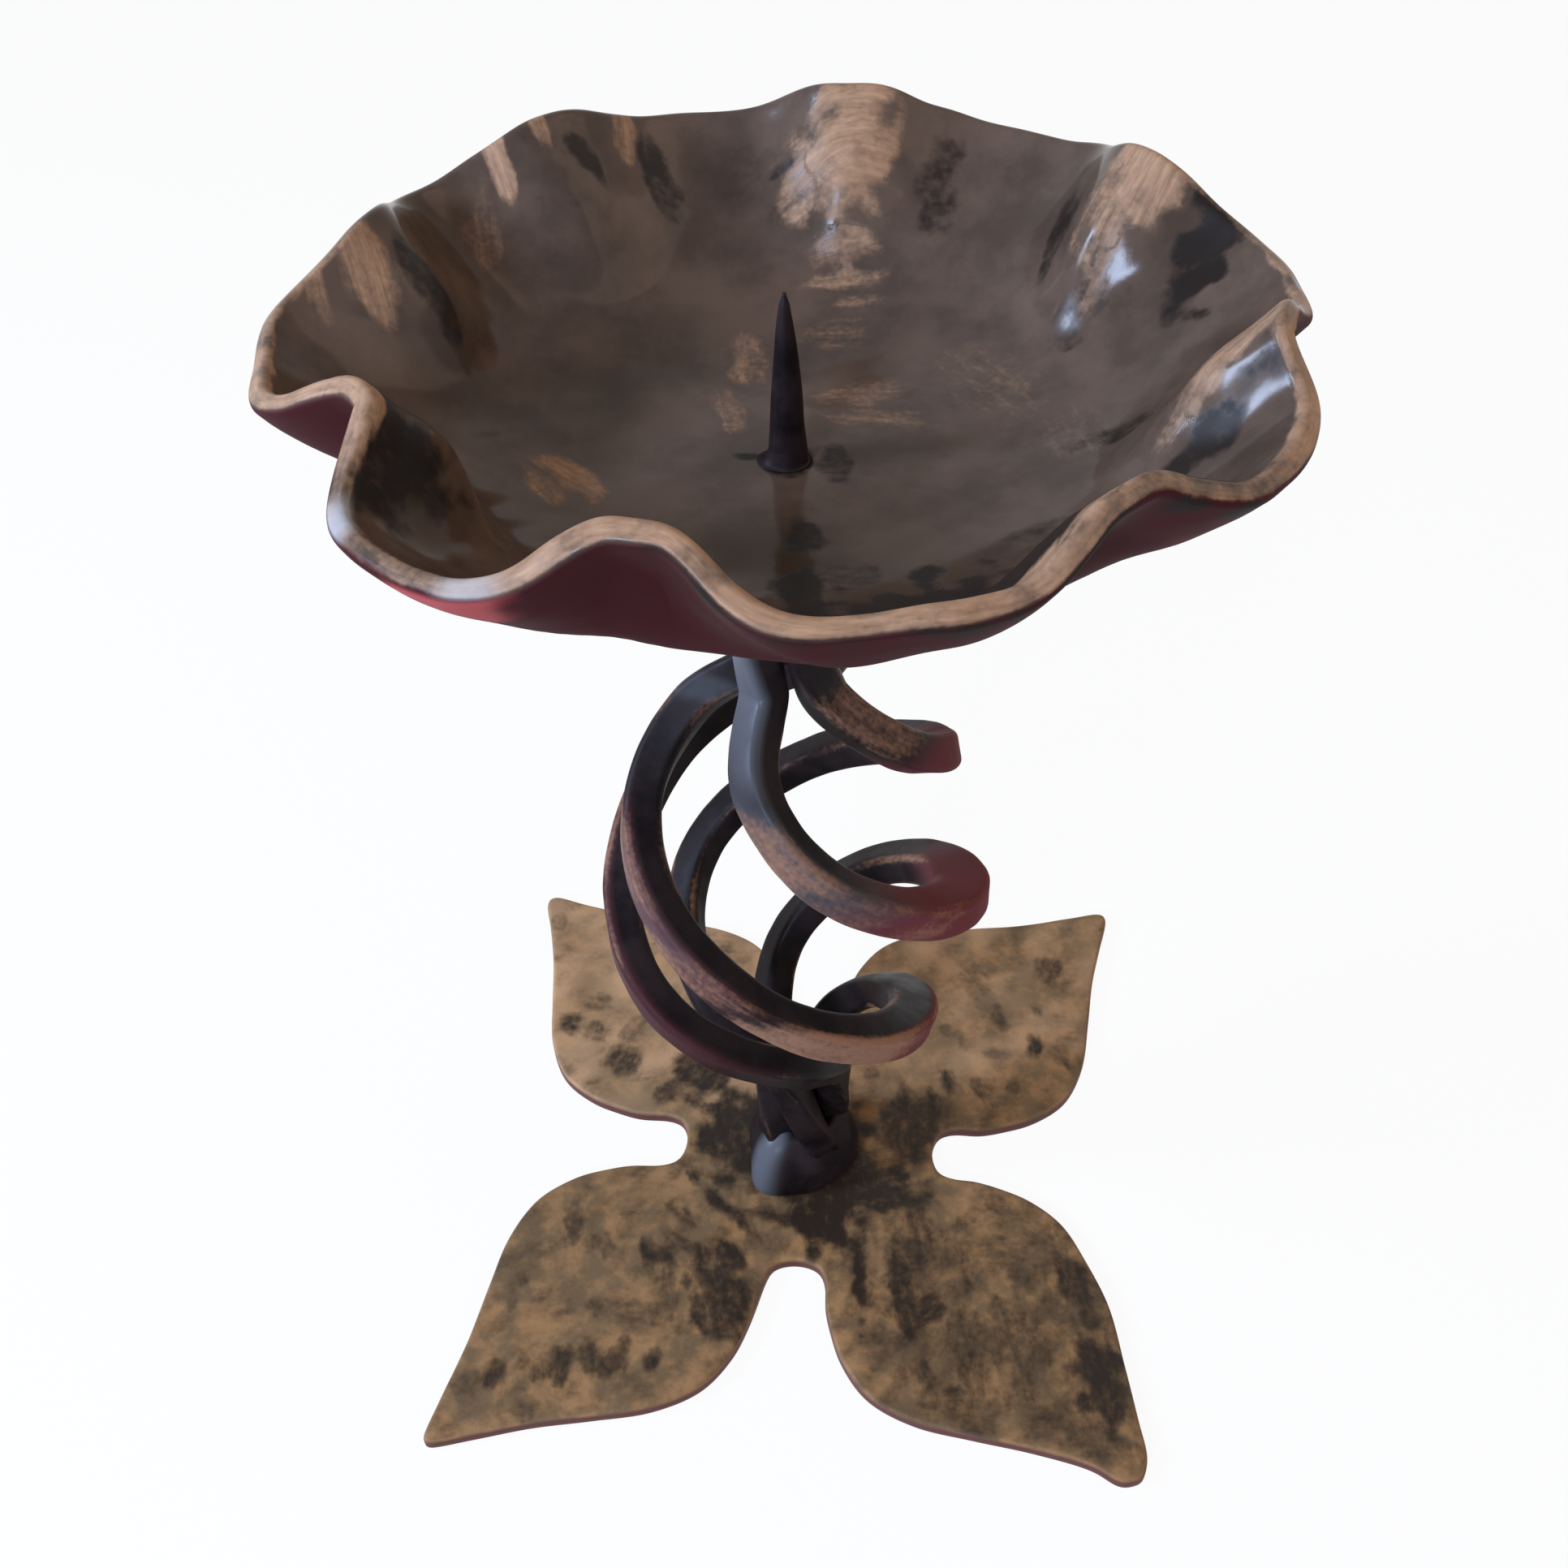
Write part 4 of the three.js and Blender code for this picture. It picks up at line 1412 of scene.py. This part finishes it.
# %% Spike
SPIKE_RADIUS = 2.5
HAMMER_SHARE = 0.035
TRIM_SHARE = 0.96  # a little slimmer than the frame's rod, which leaves room for the hammering
SPIKE_SHARES = [(0, 1), (0.22, 0.91), (0.46, 0.8), (0.72, 0.54), (0.93, 0.28), (1, 0.1)]

spike_low = box_mm("pricket")[0][2]
spike_height = SPIKE_TIP - DISH_FLOOR
shank = np.linspace(spike_low, DISH_FLOOR - 1, 8)
taper = np.linspace(DISH_FLOOR, SPIKE_TIP, 60)
spike_heights = np.concatenate([shank, taper])
taper_share = np.clip((spike_heights - DISH_FLOOR) / spike_height, 0, 1)
spike_radii = SPIKE_RADIUS * value_along(SPIKE_SHARES, taper_share)
turns = np.radians(np.arange(0, 360, 10))
spike = np.stack(
    [
        spike_radii[:, None] * np.cos(turns)[None],
        spike_radii[:, None] * np.sin(turns)[None],
        np.broadcast_to(spike_heights[:, None], (len(spike_heights), len(turns))),
    ],
    axis=-1,
)
hammered = 1 + HAMMER_SHARE * ripple(spike * (1, 1, 0.4), 4, 63)
spike[..., :2] *= hammered[..., None] * TRIM_SHARE
plain = np.zeros(spike.shape[0] * spike.shape[1])
make_piece(
    "candle_spike",
    spike.reshape(-1, 3),
    ring_faces(len(spike_heights), len(turns), joined=False),
    black_iron,
    "pricket",
    {"gilt": plain, "steel_sheen": plain, "plum_reflection": plain, "brush": spike.reshape(-1, 3)},
)

# %% [markdown]
# The filler pin between the bars stays as the frame has it, because it is hidden.

# %% Core pin
core_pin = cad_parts["foot_core_pin"]
core_pin.data.materials.clear()
core_pin.data.materials.append(black_iron)

# %% [markdown]
# ## Floor, surroundings and light
# The candlestick stands on a white sweep. Light Path makes the floor and the world white where
# the camera or a reflection sees them, while they light the object at a plain level. A share
# of the floor stays ordinary paint, so that it keeps the object's soft shadow.

# %% Floor and world
FLOOR_SIZE = 3.0
FLOOR_DROP = 0.05
GLOW_SHARE = 0.94
AMBIENT = 0.21


def seen_directly(tree):
    """1 for rays that see a surface: from the camera, a reflection or through glass."""
    path = add_node(tree, "ShaderNodeLightPath")
    either = add_node(
        tree,
        "ShaderNodeMath",
        {0: path.outputs["Is Camera Ray"], 1: path.outputs["Is Glossy Ray"]},
        operation="MAXIMUM",
    )
    any_of = add_node(
        tree,
        "ShaderNodeMath",
        {0: either.outputs[0], 1: path.outputs["Is Transmission Ray"]},
        operation="MAXIMUM",
    )
    return any_of.outputs[0]


floor_mesh = bpy.data.meshes.new("floor")
half = FLOOR_SIZE / 2
floor_mesh.from_pydata(
    [(-half, -half, 0), (half, -half, 0), (half, half, 0), (-half, half, 0)], [], [(0, 1, 2, 3)]
)
floor = bpy.data.objects.new("floor", floor_mesh)
floor.location.z = -FLOOR_DROP * MM
bpy.context.scene.collection.objects.link(floor)

sweep = bpy.data.materials.new("white_paper_sweep")
sweep.use_nodes = True
tree = sweep.node_tree
tree.nodes.clear()
paper = add_node(tree, "ShaderNodeBsdfDiffuse", {"Color": linear("#d8d8d8")})
glow = add_node(tree, "ShaderNodeEmission", {"Color": linear("#ffffff"), "Strength": 1.0})
share = add_node(
    tree, "ShaderNodeMath", {0: seen_directly(tree), 1: GLOW_SHARE}, operation="MULTIPLY"
)
mixed = add_node(
    tree, "ShaderNodeMixShader", {0: share.outputs[0], 1: paper.outputs[0], 2: glow.outputs[0]}
)
add_node(tree, "ShaderNodeOutputMaterial", {"Surface": mixed.outputs[0]})
floor_mesh.materials.append(sweep)

world = bpy.data.worlds.new("white_room")
bpy.context.scene.world = world
world.use_nodes = True
tree = world.node_tree
tree.nodes.clear()
level = add_node(tree, "ShaderNodeMix", {0: seen_directly(tree), 2: AMBIENT, 3: 1.0})
sky = add_node(
    tree, "ShaderNodeBackground", {"Color": linear("#ffffff"), "Strength": level.outputs[0]}
)
add_node(tree, "ShaderNodeOutputWorld", {"Surface": sky.outputs[0]})
bpy.context.scene.view_settings.view_transform = "Standard"

# %% [markdown]
# Two soft windows make the highlights: one at the left and one behind the camera, both a little
# blue like daylight. Their places follow from the highlights on the folds of the dish. The wide,
# weak and warmer light at the right stands for the room.


# %% Lights
LAMP_AIM = 110  # height on the stem that the lamps face, in millimetres


def window(name, bearing, elevation, distance, width, height, power, colour):
    """Area light that faces the stem; bearing 0 is behind it (+Y) and -90 at its left."""
    side, rise = math.radians(bearing), math.radians(elevation)
    place = Vector(
        (math.sin(side) * math.cos(rise), math.cos(side) * math.cos(rise), math.sin(rise))
    )
    lamp = bpy.data.lights.new(name, "AREA")
    lamp.shape = "RECTANGLE"
    lamp.size, lamp.size_y = width, height
    lamp.energy = power
    lamp.color = linear(colour)[:3]
    light = bpy.data.objects.new(name, lamp)
    light.location = Vector((0, 0, LAMP_AIM * MM)) + place * distance
    light.rotation_euler = place.to_track_quat("Z", "Y").to_euler()
    bpy.context.scene.collection.objects.link(light)


window(
    "window_left",
    bearing=-96,
    elevation=26,
    distance=0.8,
    width=0.18,
    height=0.2,
    power=8.5,
    colour="#c8dcff",
)
window(
    "window_behind_camera",
    bearing=-151,
    elevation=27,
    distance=0.8,
    width=0.14,
    height=0.14,
    power=5.8,
    colour="#c8dcff",
)
window(
    "room_at_right",
    bearing=95,
    elevation=40,
    distance=0.9,
    width=0.7,
    height=0.6,
    power=2.7,
    colour="#ffe2c8",
)
